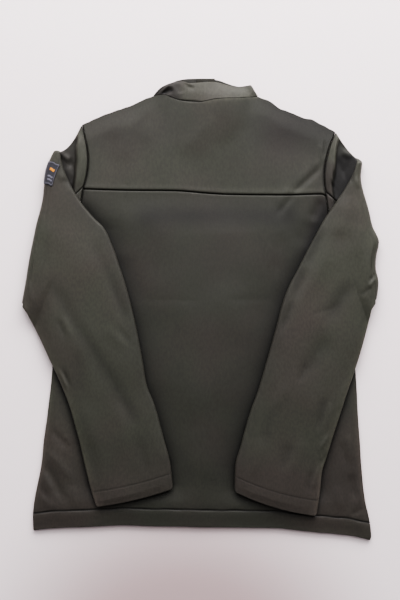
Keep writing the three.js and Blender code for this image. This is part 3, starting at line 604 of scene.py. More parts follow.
def neck_edge(x, neck):
    """How much paler the yoke's edge is along the neck, right of the dark stretch: a painted
    highlight.
    """
    uneven = 0.75 + 0.25 * np.sin(x / 2.1) * np.sin(x / 5.3)
    return NECK_PALE * uneven * bell(neck, NECK_PALE_HALF) * ease(-6, 16, x)


def right_corner(x, y):
    """A bell round the line where the right sleeve leaves the back below the yoke."""
    return bell(line_distance(RIGHT_CORNER, x, y), RIGHT_CORNER_HALF)


def body_shade(x, y):
    """How much darker the yoke is toward its shoulders, away from the neck, and a band under its
    seam, with painted shade where the right sleeve leaves the back, less a painted highlight along
    the body's side edges."""
    yoke = ease(236, 296, y) * (0.6 * (1 - bell(x - 30, 50)) + 0.5 * ease(60, 150, x))
    under = bell(y - UNDER_YOKE, 20) * ease(-125, -85, x) * ease(175, 145, x)
    side_highlight = 1.2 * ease(9, 1.5, from_side_edge(x, y)) * ease(60, 20, y) * ease(-340, -310, y)
    return yoke + 1.05 * under + 0.9 * right_corner(x, y) - side_highlight


def panel_tone(x, y, base):
    """How brown a flat panel's cloth is and how dark its colour is made, from a base depth: spots
    at the hem's corners, the right shoulder and the right sleeve, a yoke that deepens to the right,
    and the painted shade and painted light beside the sleeves, along the body's edges and the neck."""
    low_corners = ease(120, 200, np.abs(x)) * ease(-140, -230, y)
    right_shoulder = 0.7 * bell(x - 134, 34) * bell(y - 287, 30)
    warm = np.maximum.reduce([low_corners, right_shoulder, right_corner(x, y)])
    to_right = 0.4 * ease(-60, 150, x) * ease(198, 204, y)
    deep = mix(base + to_right, 0.55, low_corners) + sleeve_shade(x, y) + body_shade(x, y)
    return warm, deep - neck_edge(x, back_seams(x, y)[2])


print("dye at the middle of the back", round(float(panel_tone(0.0, 0.0, 1.0)[1]), 2))

# %% [markdown]
# A panel that lies flat is worked out between its four edges: a share u across and v up give a
# point between the bottom and top lines, and between the side lines at that height.

# %% Flat panels
NECK_TIGHT = 4.0  # the edge at the neck is rounded over a shorter way


def panel_points(panel, u, v):
    """x and y at shares u across and v up: a mix of the bottom and top lines, then of the
    side lines."""
    low = panel["bottom"](mix(*panel["bottom_span"], u))
    high = panel["top"](mix(*panel["top_span"], u))
    y = mix(low, high, v)
    return mix(panel["left"](y), panel["right"](y), u), y


def flat_panel(name, panel, u, v, face):
    """A closed wall over a panel: face gives the height and seam depth of its outer side, and
    every free edge is rounded over its last millimetre."""
    u, v = u[:, None], v[None, :]
    x, y = panel_points(panel, u, v)
    z, depth = face(x, y)
    wide, high = np.ptp(x), np.ptp(y)
    tight = np.where((y > 300) & (x > NECK_LEFT) & (x < NECK_RIGHT), NECK_TIGHT, 1.0)
    distance = np.minimum(np.minimum(u, 1 - u) * wide, np.minimum(v, (1 - v) * tight) * high)
    half = WALL / 2 * edge_round(distance)
    turn = panel["up"]
    middle = z - turn * WALL / 2
    outer = np.stack([x, y, middle + turn * half], axis=-1)
    inner = np.stack([x, y, middle - turn * half], axis=-1)
    return cloth_wall(name, outer, inner, depth, *panel_tone(x, y, panel["deep"]))


LEFT_TIP, RIGHT_TIP = LEFT_SHOULDER[0], RIGHT_SHOULDER[-1]
back_body = {
    "left": left_of, "right": right_of, "up": 1, "deep": 1.0,
    "bottom": hem_of, "bottom_span": (HEM[0][0], HEM[-1][0]),
    "top": lambda x: yoke_of(x) - SEAM / 2, "top_span": (YOKE[0][0], YOKE[-1][0])}
back_yoke = {
    "left": left_of, "right": right_of, "up": 1, "deep": 0.5,
    "bottom": lambda x: yoke_of(x) + SEAM / 2, "bottom_span": (YOKE[0][0], YOKE[-1][0]),
    "top": lambda x: back_top_edge(x) - SEAM / 2, "top_span": (LEFT_TIP[0], RIGHT_TIP[0])}
BODY_WIDE, BODY_HIGH = 520, 556  # about its size, which sets how many lines its grid gets
flat_panel("back_body_cloth", back_body, grid_lines(BODY_WIDE, 3.2, (0, BODY_WIDE)),
           grid_lines(BODY_HIGH, 3.2, (0, HEM_DEPTH, BODY_HIGH)), back_face)
YOKE_WIDE, YOKE_HIGH = 410, 140
flat_panel("back_yoke_cloth", back_yoke, grid_lines(YOKE_WIDE, 2.6, (0, YOKE_WIDE)),
           grid_lines(YOKE_HIGH, 2.4, (0, YOKE_HIGH)), back_face)

# %% [markdown]
# ## The fronts
# The two fronts lie face down on the surface, pressed flat by the rest. Their outer side is
# the underside here, so it stays level but for shallow creases that rise away from the floor.

# %% The fronts
FRONT_FOLDS = [  # x1, y1, x2, y2, half, height
    (-190, 170, -120, 120, 9, 0.5), (-170, 60, -90, 20, 8, 0.4), (-230, -120, -150, -170, 9, 0.5),
    (-120, -220, -60, -300, 8, 0.4), (-60, 230, -20, 170, 8, 0.4), (-210, -250, -170, -330, 7, 0.5),
    (190, 180, 120, 120, 9, 0.5), (160, 40, 90, 0, 8, 0.4), (230, -110, 150, -150, 9, 0.5),
    (110, -200, 60, -290, 8, 0.4), (80, 240, 40, 180, 8, 0.4), (220, -260, 170, -340, 7, 0.5)]


def front_face(x, y):
    """The fronts' outer side: level on the floor, raised where a crease lifts off it, with the
    stitched line of the hem."""
    hem_line = y - hem_of(x) - HEM_DEPTH
    lift = np.maximum(relief(FRONT_FOLDS, x, y), 0) - 0.5 * stitch_groove(hem_line, x)
    return lift, 0.8 * seam_depth(hem_line, 1.1)


front = {
    "bottom": hem_of, "top": lambda x: front_top_edge(x) - SEAM / 2, "up": -1, "deep": 0.8}
ZIP_LEFT, ZIP_RIGHT = ZIP_X - ZIP_HALF, ZIP_X + ZIP_HALF
front_left = {
    **front, "left": left_of, "right": lambda y: ZIP_LEFT + 0 * y,
    "bottom_span": (HEM[0][0], ZIP_LEFT), "top_span": (LEFT_TIP[0], ZIP_LEFT)}
front_right = {
    **front, "left": lambda y: ZIP_RIGHT + 0 * y, "right": right_of,
    "bottom_span": (ZIP_RIGHT, HEM[-1][0]), "top_span": (ZIP_RIGHT, RIGHT_TIP[0])}
FRONT_WIDE, FRONT_HIGH = 250, 690
front_u = grid_lines(FRONT_WIDE, 5, (0, FRONT_WIDE))
front_v = grid_lines(FRONT_HIGH, 5, (0, HEM_DEPTH, FRONT_HIGH))
flat_panel("front_left_cloth", front_left, front_u, front_v, front_face)
flat_panel("front_right_cloth", front_right, front_u, front_v, front_face)

# %% [markdown]
# ## The sleeves
# A sleeve here is a flat tube. It leaves the armhole with its back up, turns over along a
# slanting fold, and runs back over the jacket with its front up. A point on it has a step s
# along the tube, 0 at the armhole, 1 and 2 at the start and end of the fold and one more at
# each section below, and a share from the over-arm edge to the under-arm edge.

# %% Sleeve tables
LEFT_FOLD_EDGE = [  # share along the fold, how far its edge stands out
    (0, 0), (0.07, 4.5), (0.14, 6.5), (0.35, 2), (0.5, 3.7), (0.7, 3.2), (0.85, 1.3), (1, 0)]
RIGHT_FOLD_EDGE = [
    (0, 0), (0.13, -5.5), (0.34, 2), (0.47, 6), (0.58, 14), (0.68, 7.4), (0.77, 4.3),
    (0.86, 6.5), (1, 0)]
LEFT_HEAD_RIDGE = [(188, 14), (234, 18.5), (262, 18), (279, 12)]  # y, distance from the armhole
RIGHT_HEAD_RIDGE = [
    (186, 11.5), (202, 11), (218, 14.6), (236, 16.4), (249, 14.3), (261, 12), (276, 10)]
FOLD_RADIUS = SLEEVE_LOFT + FOLD_GAP / 2
FOLD_TIP = 7.0  # how far the sleeve still bulges past its outer edge below the fold
CUFF_CORNER = 5.0  # radius of a cuff's corners
CUFF_PITCH = 38.0  # mm from the last section but one to the last
CROWN = 2.4  # how much fuller the middle of a folded sleeve is than its edges
FIRST_SECTION = 3  # the step of the first section below the fold


def make_sleeve(side_of, outward, shoulder, underarm, fold_top, fold_end, fold_edge, cap_dip,
                sections, head_ridge, valley, valley_dark, peak):
    """The facts of one sleeve, with smooth lines through its sections. cap_dip is how far the
    over-arm sags between shoulder and fold, valley the depth of the hollow past the head's
    ridge, valley_dark how dark that hollow is painted below and at the top, as painted shade,
    and peak how far the fold's top draws up."""
    fold = np.subtract(fold_end, fold_top)
    length = np.hypot(*fold)
    sleeve = {
        "side_of": side_of, "outward": outward, "shoulder": shoulder, "underarm": underarm,
        "fold_top": fold_top, "fold_end": fold_end, "fold_edge": smooth_line(fold_edge),
        "cap_dip": cap_dip, "head_ridge": smooth_line(head_ridge), "valley": valley,
        "valley_dark": valley_dark, "peak": peak,
        "inward": (outward * fold[1] / length, -outward * fold[0] / length),
        "cuff": len(sections) + FIRST_SECTION - 1}
    start = (*fold_line(sleeve, 0), *fold_line(sleeve, 1), 0)
    rows = [start, *sections]
    for k, column in enumerate(("ax", "ay", "bx", "by", "bow")):
        sleeve[column] = smooth_line(
            [(s + FIRST_SECTION - 1, row[k]) for s, row in enumerate(rows)])
    return sleeve


def fold_line(sleeve, t):
    """The axis that the sleeve turns over: its folded edge moved in by one fold radius."""
    inset = FOLD_RADIUS - sleeve["fold_edge"](t)
    return tuple(
        mix(top, end, t) + inward * inset for top, end, inward in
        zip(sleeve["fold_top"], sleeve["fold_end"], sleeve["inward"]))


left_sleeve = make_sleeve(
    side_of=left_of, outward=-1, shoulder=LEFT_TIP, underarm=(-229, 78), fold_top=(-241, 262),
    fold_end=(-295, 8), fold_edge=LEFT_FOLD_EDGE, cap_dip=9, sections=LEFT_SECTIONS,
    head_ridge=LEFT_HEAD_RIDGE, valley=-3.0, valley_dark=(1.0, 1.0), peak=0)
right_sleeve = make_sleeve(
    side_of=right_of, outward=1, shoulder=RIGHT_TIP, underarm=(240, 73), fold_top=(267, 243),
    fold_end=(290, 14), fold_edge=RIGHT_FOLD_EDGE, cap_dip=4, sections=RIGHT_SECTIONS,
    head_ridge=RIGHT_HEAD_RIDGE, valley=-4.4, valley_dark=(1.3, 3.0), peak=0.032)
print("steps to the cuff: left", left_sleeve["cuff"], "right", right_sleeve["cuff"])

# %% [markdown]
# The folded part rests on the back or on its own upper part, and comes down to the floor past
# their edges. So the middle of the tube is found first: the head lies level, the fold swings
# round its axis in half a circle, and the rest follows the sections down to the cuff.

# %% Sleeve shape
def support(sleeve, x, y):
    """Height of what lies under the folded sleeve, down to the floor past the edges."""
    px, py = sleeve["underarm"]
    fx, fy = fold_line(sleeve, 1)
    length = np.hypot(fx - px, fy - py)
    in_sleeve = sleeve["outward"] * ((x - px) * (py - fy) + (y - py) * (fx - px)) / length
    in_body = sleeve["outward"] * (sleeve["side_of"](y) - x)
    return SLEEVE_LOFT * ease(-DROOP, -2, np.maximum(in_sleeve, in_body))


def tube_height(sleeve, s):
    """Height of the flat tube, a little less toward the cuff."""
    return mix(SLEEVE_LOFT, CUFF_LOFT, ease(2, sleeve["cuff"], s))


def tube_middle(sleeve, s, t):
    """Middle of the tube at step s and share t, as x, y, z and how far it has turned over."""
    out, (in_x, in_y) = sleeve["outward"], sleeve["inward"]
    fold_x, fold_y = fold_line(sleeve, t - sleeve["peak"] * (1 - t) ** 8 * ease(1.7, 1, s))
    side_y = mix(sleeve["shoulder"][1], sleeve["underarm"][1], t)
    side_x = sleeve["side_of"](side_y) + out * ARMHOLE_SEAM
    dip = sleeve["cap_dip"] * 4 * s * (1 - s) * (1 - t) ** 2
    head = (mix(side_x, fold_x, s), mix(side_y, fold_y, s) - dip, SLEEVE_LOFT / 2 + 0 * s, 0 * s)

    turn = np.pi * np.clip(s - 1, 0, 1)
    reach = FOLD_RADIUS - SLEEVE_LOFT / 2
    swing = reach * np.sin(turn)
    fold = (fold_x - in_x * swing, fold_y - in_y * swing, FOLD_RADIUS - reach * np.cos(turn), turn)

    ax, ay, bx, by = (sleeve[column](s) for column in ("ax", "ay", "bx", "by"))
    width = np.hypot(bx - ax, by - ay)
    bow = sleeve["bow"](s) * 4 * t * (1 - t)
    tip = FOLD_TIP * t ** 8 * ease(2, 2.12, s) * ease(3.4, 2.3, s)
    edge = sleeve["fold_edge"](t) * ease(5, 2, s) + tip
    x = mix(ax, bx, t) - in_x * edge + out * bow * (by - ay) / width
    y = mix(ay, by, t) - in_y * edge - out * bow * (bx - ax) / width
    lift = mix(FOLD_GAP, REST_GAP, ease(2, 6, s))
    high = support(sleeve, x, y) + lift + tube_height(sleeve, s) / 2
    level = SLEEVE_LOFT + FOLD_GAP + SLEEVE_LOFT / 2
    lower = (x, y, mix(level, high, ease(2, 4, s)), np.pi + 0 * s)

    stage = [s <= 1, s <= 2]
    return [np.select(stage, [a + 0 * t, b + 0 * t], c + 0 * t)
            for a, b, c in zip(head, fold, lower)]


print("the left cuff is", float(tube_height(left_sleeve, left_sleeve["cuff"])), "mm high")

# %% [markdown]
# The skin is set off from that middle: level faces on top and below, and half circles along
# the two edges. The ridge of the head, the crown and the folds are added where a face shows.

# %% Skin of a sleeve
HEAD_FADES = (150, 188), (296, 272)  # y over which the sleeve head's shape fades in and out
RIDGE_LOW, RIDGE_HIGH = 2.4, 3.3  # height of its ridge at its foot and above
RIDGE_EDGE = 2.4  # the way over which the ridge drops to the valley


def head_relief(sleeve, x, y, s):
    """The sleeve head: a strip that rises from the armhole to a ridge and drops into a valley."""
    distance = sleeve["outward"] * (x - sleeve["side_of"](y))
    ridge = sleeve["head_ridge"](y)
    past = ease(ridge, ridge + RIDGE_EDGE, distance)
    strip = mix(RIDGE_LOW, RIDGE_HIGH, ease(196, 214, y)) * ease(0, 12, distance) * (1 - past)
    valley = sleeve["valley"] * past * ease(1, 0.55, s)
    fade_in, fade_out = HEAD_FADES
    return (strip + valley) * ease(*fade_in, y) * ease(*fade_out, y)


def tube_skin(sleeve, side, t, s, depth):
    """A point depth mm inside the tube's outer face. side is 0 for the back, 1 for the front,
    2 and 3 for the round over-arm and under-arm edges, where t is the share of the half turn."""
    thick = tube_height(sleeve, s) / 2
    half = thick - depth
    width = np.hypot(sleeve["ax"](s) - sleeve["bx"](s), sleeve["ay"](s) - sleeve["by"](s))
    margin, edge = thick / width, half / width
    angle = np.pi * t
    level = mix(margin, 1 - margin, t)
    share = np.select([side < 2, side == 2], [level, margin - edge * np.sin(angle)],
                      1 - margin + edge * np.sin(angle))
    up = np.select([side == 0, side == 1, side == 2], [1, -1, np.cos(angle)], -np.cos(angle))
    from_edge = np.clip(np.minimum(share, 1 - share) * width / CUFF_CORNER, 0, 1)
    pull = CUFF_CORNER * (1 - np.sqrt(from_edge * (2 - from_edge)))
    s = s - pull / CUFF_PITCH * ease(sleeve["cuff"] - 0.6, sleeve["cuff"], s)
    x, y, z, turn = tube_middle(sleeve, s, share)
    in_x, in_y = sleeve["inward"]
    x = x + in_x * np.sin(turn) * up * half
    y = y + in_y * np.sin(turn) * up * half
    z = z + np.cos(turn) * up * half
    shows = np.clip(np.cos(turn) * up, 0, 1)
    head = relief(HEAD_FOLDS, x, y) + head_relief(sleeve, x, y, s)
    crown = CROWN * (1 - (2 * share - 1) ** 4) * ease(1.8, 4, s)
    body = relief(SLEEVE_FOLDS, x, y) + swell(1.3 * y, x) + crown
    fade = ease(sleeve["cuff"], sleeve["cuff"] - 0.3, s)
    z = z + shows * np.where(s <= 1, head, body * mix(0.4, 1, fade))
    return np.stack([x, y, z], axis=-1), share, shows


print("the left ridge lies", round(float(left_sleeve["head_ridge"](234.0)), 1), "mm out")

# %% [markdown]
# Each sleeve is cut in two: an upper piece that wraps the front and half of the back, and a
# narrow lower piece between the two back seams. Their grids share the same steps, finer round
# the armhole and the cuff, whose turned end is held by one row of stitching.

# %% Sleeve pieces
def sleeve_steps(sleeve):
    """Steps along a sleeve: the head, the fold, the folded part, and finer ones at the cuff."""
    cuff = sleeve["cuff"]
    return np.concatenate([
        grid_lines(60, 2.6, (0,)), 1 + np.linspace(0, 1, 15)[1:],
        np.linspace(2, cuff - 1.25, 125)[1:], np.linspace(cuff - 1.25, cuff - 0.03, 42)[1:],
        [cuff - 0.012, cuff]])


def run_of_columns(side, start, end, count):
    """Evenly spaced columns on one side of the tube."""
    return [(side, mix(start, end, k / count)) for k in range(count + 1)]


NEAR = 0.004  # share of a sleeve's width close to a seam
UPPER_COLUMNS = [
    (0, BACK_SEAM - SEAM_SHARE), (0, BACK_SEAM - NEAR), (0, BACK_SEAM - 2 * NEAR),
    *run_of_columns(0, BACK_SEAM - 4 * NEAR, 0, 30), *run_of_columns(2, 0.1, 0.9, 8),
    *run_of_columns(1, 0, 1, 76), *run_of_columns(3, 0.1, 0.9, 8),
    *run_of_columns(0, 1, UNDER_SEAM + 2 * NEAR, 6), (0, UNDER_SEAM + NEAR),
    (0, UNDER_SEAM + SEAM_SHARE)]
LOWER_COLUMNS = [
    (0, UNDER_SEAM - SEAM_SHARE), (0, UNDER_SEAM - NEAR),
    *run_of_columns(0, UNDER_SEAM - 2 * NEAR, BACK_SEAM + 2 * NEAR, 30),
    (0, BACK_SEAM + NEAR), (0, BACK_SEAM + SEAM_SHARE)]
print("a sleeve has", len(UPPER_COLUMNS), "columns above and", len(LOWER_COLUMNS), "below")

# %% [markdown]
# A sleeve is toned as the back is. Its outer edge and the ridge at its head get painted
# highlights, and the valley past that ridge, the inner edge and the troughs get painted shade.

# %% Tone of the sleeves
EDGE_PALE, RIM_PALE = 0.7, 1.3  # how pale a painted highlight makes the outer edge of a sleeve, and its very rim
RIDGE_PALE = 0.6  # and the ridge of its head, also a painted highlight
STRIP_DEEP = 0.8  # how much deeper and browner the strip before the right ridge is
VALLEY_WARM = 0.8  # how much browner the left head's valley is


def sleeve_tone(sleeve, s, to_inner, to_outer, shows, points):
    """How brown a sleeve is and how dark its colour is made: darker toward the cuff and on the
    right head's strip, painted shade in the head's valley, at the inner edge and in troughs, and
    painted highlights at the outer edge and on the head's ridge."""
    x, y = points[:, :, 0], points[:, :, 1]
    is_head = s <= 1
    beyond = sleeve["outward"] * (x - sleeve["side_of"](y)) - sleeve["head_ridge"](y)
    most = mix(*sleeve["valley_dark"], ease(264, 244, y))
    valley = most * ease(-0.5, 3, beyond) * is_head * ease(0.2, 0.8, shows)
    at_ridge = RIDGE_PALE * bell(beyond + 0.8, 1.5) * ease(226, 246, y) * is_head
    on_right = sleeve["outward"] > 0
    strip = STRIP_DEEP * on_right * is_head * ease(0.8, -1, beyond) * ease(252, 232, y)
    edge_highlight = (EDGE_PALE * ease(18, 1, to_outer) + RIM_PALE * ease(6, 1, to_outer)) * ease(1.7, 2.4, s)
    turned = ease(2, 2.6, s)
    shaded = turned * mix(0.35, 0.95, ease(14, 9, s)) * np.exp(-to_inner / 17)
    troughs = 0.5 * np.maximum(-relief(SLEEVE_FOLDS, x, y), 0) * turned * shows
    deep = 0.12 + 0.33 * ease(90, -200, y) + valley + strip + shaded + troughs - edge_highlight - at_ridge
    return VALLEY_WARM * (valley > 0) * (not on_right) + strip, deep


print("the rim of a sleeve is", EDGE_PALE + RIM_PALE, "paler than its middle")

# %% [markdown]
# Both faces of a piece come from the same columns and steps. They then sink toward the seams
# and the stitched line, and come together over the last millimetre before an edge.

# %% Sleeve walls
MOST_SINK = 1.2  # the inner face turns down less than the outer, or it would touch the back


def sleeve_wall(name, sleeve, columns):
    """One sleeve piece. Seams sink by their distance in mm, and the cuff's stitched groove lies
    CUFF_DEPTH from its end, measured along each column of the grid."""
    side = np.array([column[0] for column in columns])[:, None]
    t = np.array([column[1] for column in columns])[:, None]
    s = sleeve_steps(sleeve)[None, :]
    outer, share, shows = tube_skin(sleeve, side, t, s, 0)
    inner, _, _ = tube_skin(sleeve, side, t, s, WALL)
    width = np.hypot(sleeve["ax"](s) - sleeve["bx"](s), sleeve["ay"](s) - sleeve["by"](s))
    on_back = side == 0
    to_seam = np.where(on_back, np.minimum(
        np.abs(share - BACK_SEAM), np.abs(share - UNDER_SEAM)) * width, FAR)
    step = np.linalg.norm(np.diff(outer, axis=1), axis=2)
    to_armhole = np.concatenate([0 * t, np.cumsum(step, axis=1)], axis=1)
    to_cuff = to_armhole[:, -1:] - to_armhole
    steps_across = np.linalg.norm(np.diff(outer, axis=0), axis=2)
    round_tube = np.concatenate([0 * s, np.cumsum(steps_across, axis=0)], axis=0)
    groove = stitch_groove(to_cuff - CUFF_DEPTH, round_tube[:, -1:])
    gape = armhole_half(outer[:, :1, 1])
    sink = roll(to_seam) + roll(to_armhole, half=gape) + 0.35 * groove
    thin = WALL / 2 * (1 - edge_round(np.minimum(to_cuff, np.minimum(to_armhole, to_seam))))
    skin = outer - inner
    skin = skin / np.maximum(np.linalg.norm(skin, axis=2, keepdims=True), 1e-6)
    outer = outer + skin * (sink - thin)[:, :, None]
    inner = inner + skin * (np.maximum(sink, -MOST_SINK) + thin)[:, :, None]
    depth = np.maximum.reduce([
        seam_depth(to_seam), seam_depth(to_armhole, gape),
        0.5 * seam_depth(to_cuff - CUFF_DEPTH, 0.8)])
    warm, deep = sleeve_tone(sleeve, s, share * width, (1 - share) * width, shows, outer)
    warm = warm + ease(110, 10, to_cuff)
    return cloth_wall(name, outer, inner, depth, warm, deep)


sleeve_wall("sleeve_left_upper_cloth", left_sleeve, UPPER_COLUMNS)
sleeve_wall("sleeve_left_lower_cloth", left_sleeve, LOWER_COLUMNS)
sleeve_wall("sleeve_right_upper_cloth", right_sleeve, UPPER_COLUMNS)
sleeve_wall("sleeve_right_lower_cloth", right_sleeve, LOWER_COLUMNS)

# %% [markdown]
# ## The collar
# The stand collar is one band. It starts at the zip, runs under the neck to the left, doubles
# back along the neck seam that shows, and returns to the zip. So the part that shows slopes
# from the raised neck seam down to its rim, and a strip of its inside shows past that rim.

# %% The collar
COLLAR_FOLDS = [  # x1, y1, x2, y2, half, height, of the part that shows
    (-68, 354, -50, 372, 1.8, 2.0), (-66, 354, -44, 364, 4, -3.4), (-40, 372, -30, 354, 6, -1.0),
    (-28, 377, -10, 366, 3, 1.2), (-22, 368, -8, 362, 4, -0.8), (10, 374, 26, 354, 8, -0.5),
    (40, 370, 58, 352, 8, 0.5), (72, 366, 84, 354, 5, -0.5)]
CORNER_HOLE, HOLE_HALF = (-64, 356, -46, 361), 3.4  # where one looks down into the neck, painted dark as shade
CORNER_EDGE, EDGE_AWAY = (-70, 355), (-0.74, 0.67)  # its folded edge, and the way out from it
CORNER_CROWN = 3.2  # how far the band's left end curves out between its foot and its rim
RIM_BACK = 8.6  # middle of the back collar's cloth at its rim
RIM_END = 5.6  # and at the band's two ends
RIM_DIP = 2.4  # how much lower the rim lies right of the middle
BAND_FULL = 1.3  # how much the band that shows swells between foot and rim
CORNER_OUT = np.array([-0.56, 0.83, 0])  # the way that its left end curves
TURN_STEPS = 14  # round each end of the doubled band


def rim_x(x):
    """x on the rim over a foot at x: the rim is shorter than the neck."""
    share = np.clip((x - NECK_LEFT) / (NECK_RIGHT - NECK_LEFT), 0, 1)
    return mix(BACK_RIM[0][0], BACK_RIM[-1][0], share)


def collar_front(x):
    """Stations of the part under the neck: foot and rim points, and the outward side, down."""
    near_zip = ease(ZIP_HALF + 1, ZIP_HALF + 12, np.abs(x - ZIP_X))
    rim = mix(x, rim_x(x), near_zip)
    low = 0 * x + WALL / 2
    foot = np.stack([x, front_neck_of(x) + SEAM / 2, low], axis=-1)
    top = np.stack([rim, front_rim_of(rim), low], axis=-1)
    return foot, top, np.stack([0 * x, 0 * x, 0 * x - 1], axis=-1)


def collar_back(x):
    """Stations of the part that shows, from the raised neck seam down to the rim."""
    at_end = ease(NECK_LEFT, NECK_LEFT + 45, x) * ease(NECK_RIGHT, NECK_RIGHT - 45, x)
    seam_z = back_sheet(x, back_neck_of(x)) - WALL / 2
    foot = np.stack([x, back_neck_of(x) + SEAM / 2, seam_z], axis=-1)
    rim = np.stack([rim_x(x), back_rim_of(rim_x(x)), mix(RIM_END, RIM_BACK, at_end)], axis=-1)
    rim[:, 2] -= RIM_DIP * ease(-10, 50, x) * ease(NECK_RIGHT, NECK_RIGHT - 20, x)
    return foot, rim, np.stack([0 * x, 0 * x, 0 * x + 1], axis=-1)


def collar_turn(x, lower, upper):
    """Stations round one end of the doubled band: a half circle from lower to upper."""
    angle = np.pi * np.arange(1, TURN_STEPS)[:, None] / TURN_STEPS
    bulge, share = np.sin(angle), (1 - np.cos(angle)) / 2
    sign = np.sign(x)
    foot = mix(lower[0], upper[0], share)
    rim = mix(lower[1], upper[1], share)
    foot[:, :1] = mix(foot[:, :1], x - sign * WALL / 2, bulge)
    foot[:, 1:2] = mix(foot[:, 1:2], back_neck_of(x) + 2 * SEAM, np.minimum(1, 1.4 * bulge))
    rim[:, :1] = mix(rim[:, :1], rim_x(x) - sign * WALL / 2, bulge)
    return foot, rim, np.concatenate([sign * bulge, 0 * bulge, -np.cos(angle)], axis=1)


def collar_stations():
    """Foot, rim and outward side all the way round: under the neck, a turn, the part that shows,
    the other turn, and under the neck again."""
    left = collar_front(np.linspace(ZIP_LEFT, NECK_LEFT, 40)[:-1])
    right = collar_front(np.linspace(NECK_RIGHT, ZIP_RIGHT, 40)[1:])
    back = collar_back(np.linspace(NECK_LEFT, NECK_RIGHT, 90)[1:-1])
    turn_left = collar_turn(
        NECK_LEFT, [part[-1] for part in left[:2]], [part[0] for part in back[:2]])
    turn_right = collar_turn(
        NECK_RIGHT, [part[0] for part in right[:2]], [part[-1] for part in back[:2]])
    turn_right = [part[::-1] for part in turn_right]
    return [np.concatenate(parts) for parts in zip(left, turn_left, back, turn_right, right)]


print("the rim is", round((BACK_RIM[-1][0] - BACK_RIM[0][0]) / (NECK_RIGHT - NECK_LEFT), 2),
      "times as long as the neck")

# %% [markdown]
# The band is ruled: at each station a straight line runs from foot to rim. Where it shows it
# then gets its swell, its folds and the turn at the neck seam, and a wall is set off both ways.

# %% Collar wall
def collar_tone(x, y, to_foot, shows):
    """How dark the band is: in its neck seam, as painted shade in the hole at its left end and
    along the brim there, partly as painted shade on its inside, and how much paler, as painted
    light, along the neck edge."""
    hole = seam_depth(line_distance(CORNER_HOLE, x, y), HOLE_HALF)
    past_edge = (x - CORNER_EDGE[0]) * EDGE_AWAY[0] + (y - CORNER_EDGE[1]) * EDGE_AWAY[1]
    outside = ease(0.6, 1.4, past_edge)
    brim = 0.75 * outside * ease(-44, -52, x) + 0.62 * ease(-25, -42, x) * (1 - outside)
    dark = np.maximum.reduce([neck_line(x) * seam_depth(to_foot), hole, brim]) * shows
    dark = dark - 0.4 * neck_edge(x, to_foot) * shows
    inside = 0.55 * ease(0.5, 0, shows) + 0 * x
    return np.maximum(dark, inside)


def collar_wall():
    """The band, ruled from its foot to its rim, with a soft crown and its folds where it shows."""
    foot, rim, out = collar_stations()
    v = grid_lines(30, 1.2, (0, 30))[None, :, None]
    core = mix(foot[:, None], rim[:, None], v)
    crown = CORNER_CROWN * np.sin(np.pi * v) * ease(-40, -64, foot[:, :1])[:, None]
    core = core + crown * CORNER_OUT
    x, y = core[:, :, 0], core[:, :, 1]
    shows = np.clip(out[:, None, 2], 0, 1)
    full = BAND_FULL * np.sin(np.pi * v[:, :, 0]) * ease(0, 0.5, shows)
    to_foot = np.linalg.norm(rim - foot, axis=1)[:, None] * v[:, :, 0]
    to_rim = np.linalg.norm(rim - foot, axis=1)[:, None] * (1 - v[:, :, 0])
    rise = relief(COLLAR_FOLDS, x, y) + full + neck_line(x) * roll(to_foot, NECK_ROLL)
    core[:, :, 2] += shows * rise
    half = WALL / 2 * edge_round(np.minimum(4 * to_foot, to_rim))
    offset = out[:, None] * half[:, :, None]
    # toward its left end the band goes to the collar's darker brown, painting the shade there
    return cloth_wall("collar_cloth_band", core + offset, core - offset,
                      collar_tone(x, y, to_foot, shows), warm=ease(-20, -50, x))


collar_wall()

# %% [markdown]
# ## Rows of stitching
# The hem and the cuffs are turned up and held by one row of lockstitch. A stitch is a short
# thread that dips into the cloth at both ends. One capsule of a few faces is copied along each
# row with numpy, so a whole row is a single mesh.

# %% Stitching
THREAD = 0.7  # thread diameter, drawn a little coarse so that a row reads as dots
STITCH_LENGTH = 2.3
HEM_LIFT, CUFF_LIFT = 0.1, -0.65  # of the stitches above the cloth they hold down
SIDES = 6  # of a capsule


def resample(path, pitch):
    """Points every pitch mm along a polyline, and the unit direction at each."""
    lengths = np.concatenate([[0], np.cumsum(np.linalg.norm(np.diff(path, axis=0), axis=1))])
    at = np.arange(pitch / 2, lengths[-1], pitch)

    def along(run):
        """The points at these lengths along the path."""
        return np.stack([np.interp(run, lengths, path[:, k]) for k in range(3)], axis=1)

    direction = along(at + 0.5) - along(at - 0.5)
    return along(at), direction / np.linalg.norm(direction, axis=1, keepdims=True)


def capsule(length, radius):
    """A short thread along x: rings whose radius and drop follow a half circle at the ends."""
    at = np.array([-1, -0.86, -0.4, 0.4, 0.86, 1]) * length / 2
    size = radius * np.array([0.25, 0.8, 1, 1, 0.8, 0.25])
    drop = -radius * np.array([1.2, 0.5, 0, 0, 0.5, 1.2])
    angle = 2 * np.pi * np.arange(SIDES) / SIDES
    points = np.concatenate([
        np.stack([x + 0 * angle, ring * np.cos(angle), low + ring * np.sin(angle)], axis=1)
        for x, ring, low in zip(at, size, drop)])
    here = np.arange(SIDES)
    beside = (here + 1) % SIDES
    last = (len(at) - 1) * SIDES
    faces = [np.stack([k + here, k + beside, k + SIDES + beside, k + SIDES + here], axis=1)
             for k in range(0, last, SIDES)]
    first_cap = [[0, 5, 4, 3], [0, 3, 2, 1]]
    last_cap = [[last, last + 1, last + 2, last + 3], [last, last + 3, last + 4, last + 5]]
    return points, np.concatenate([*faces, first_cap, last_cap])


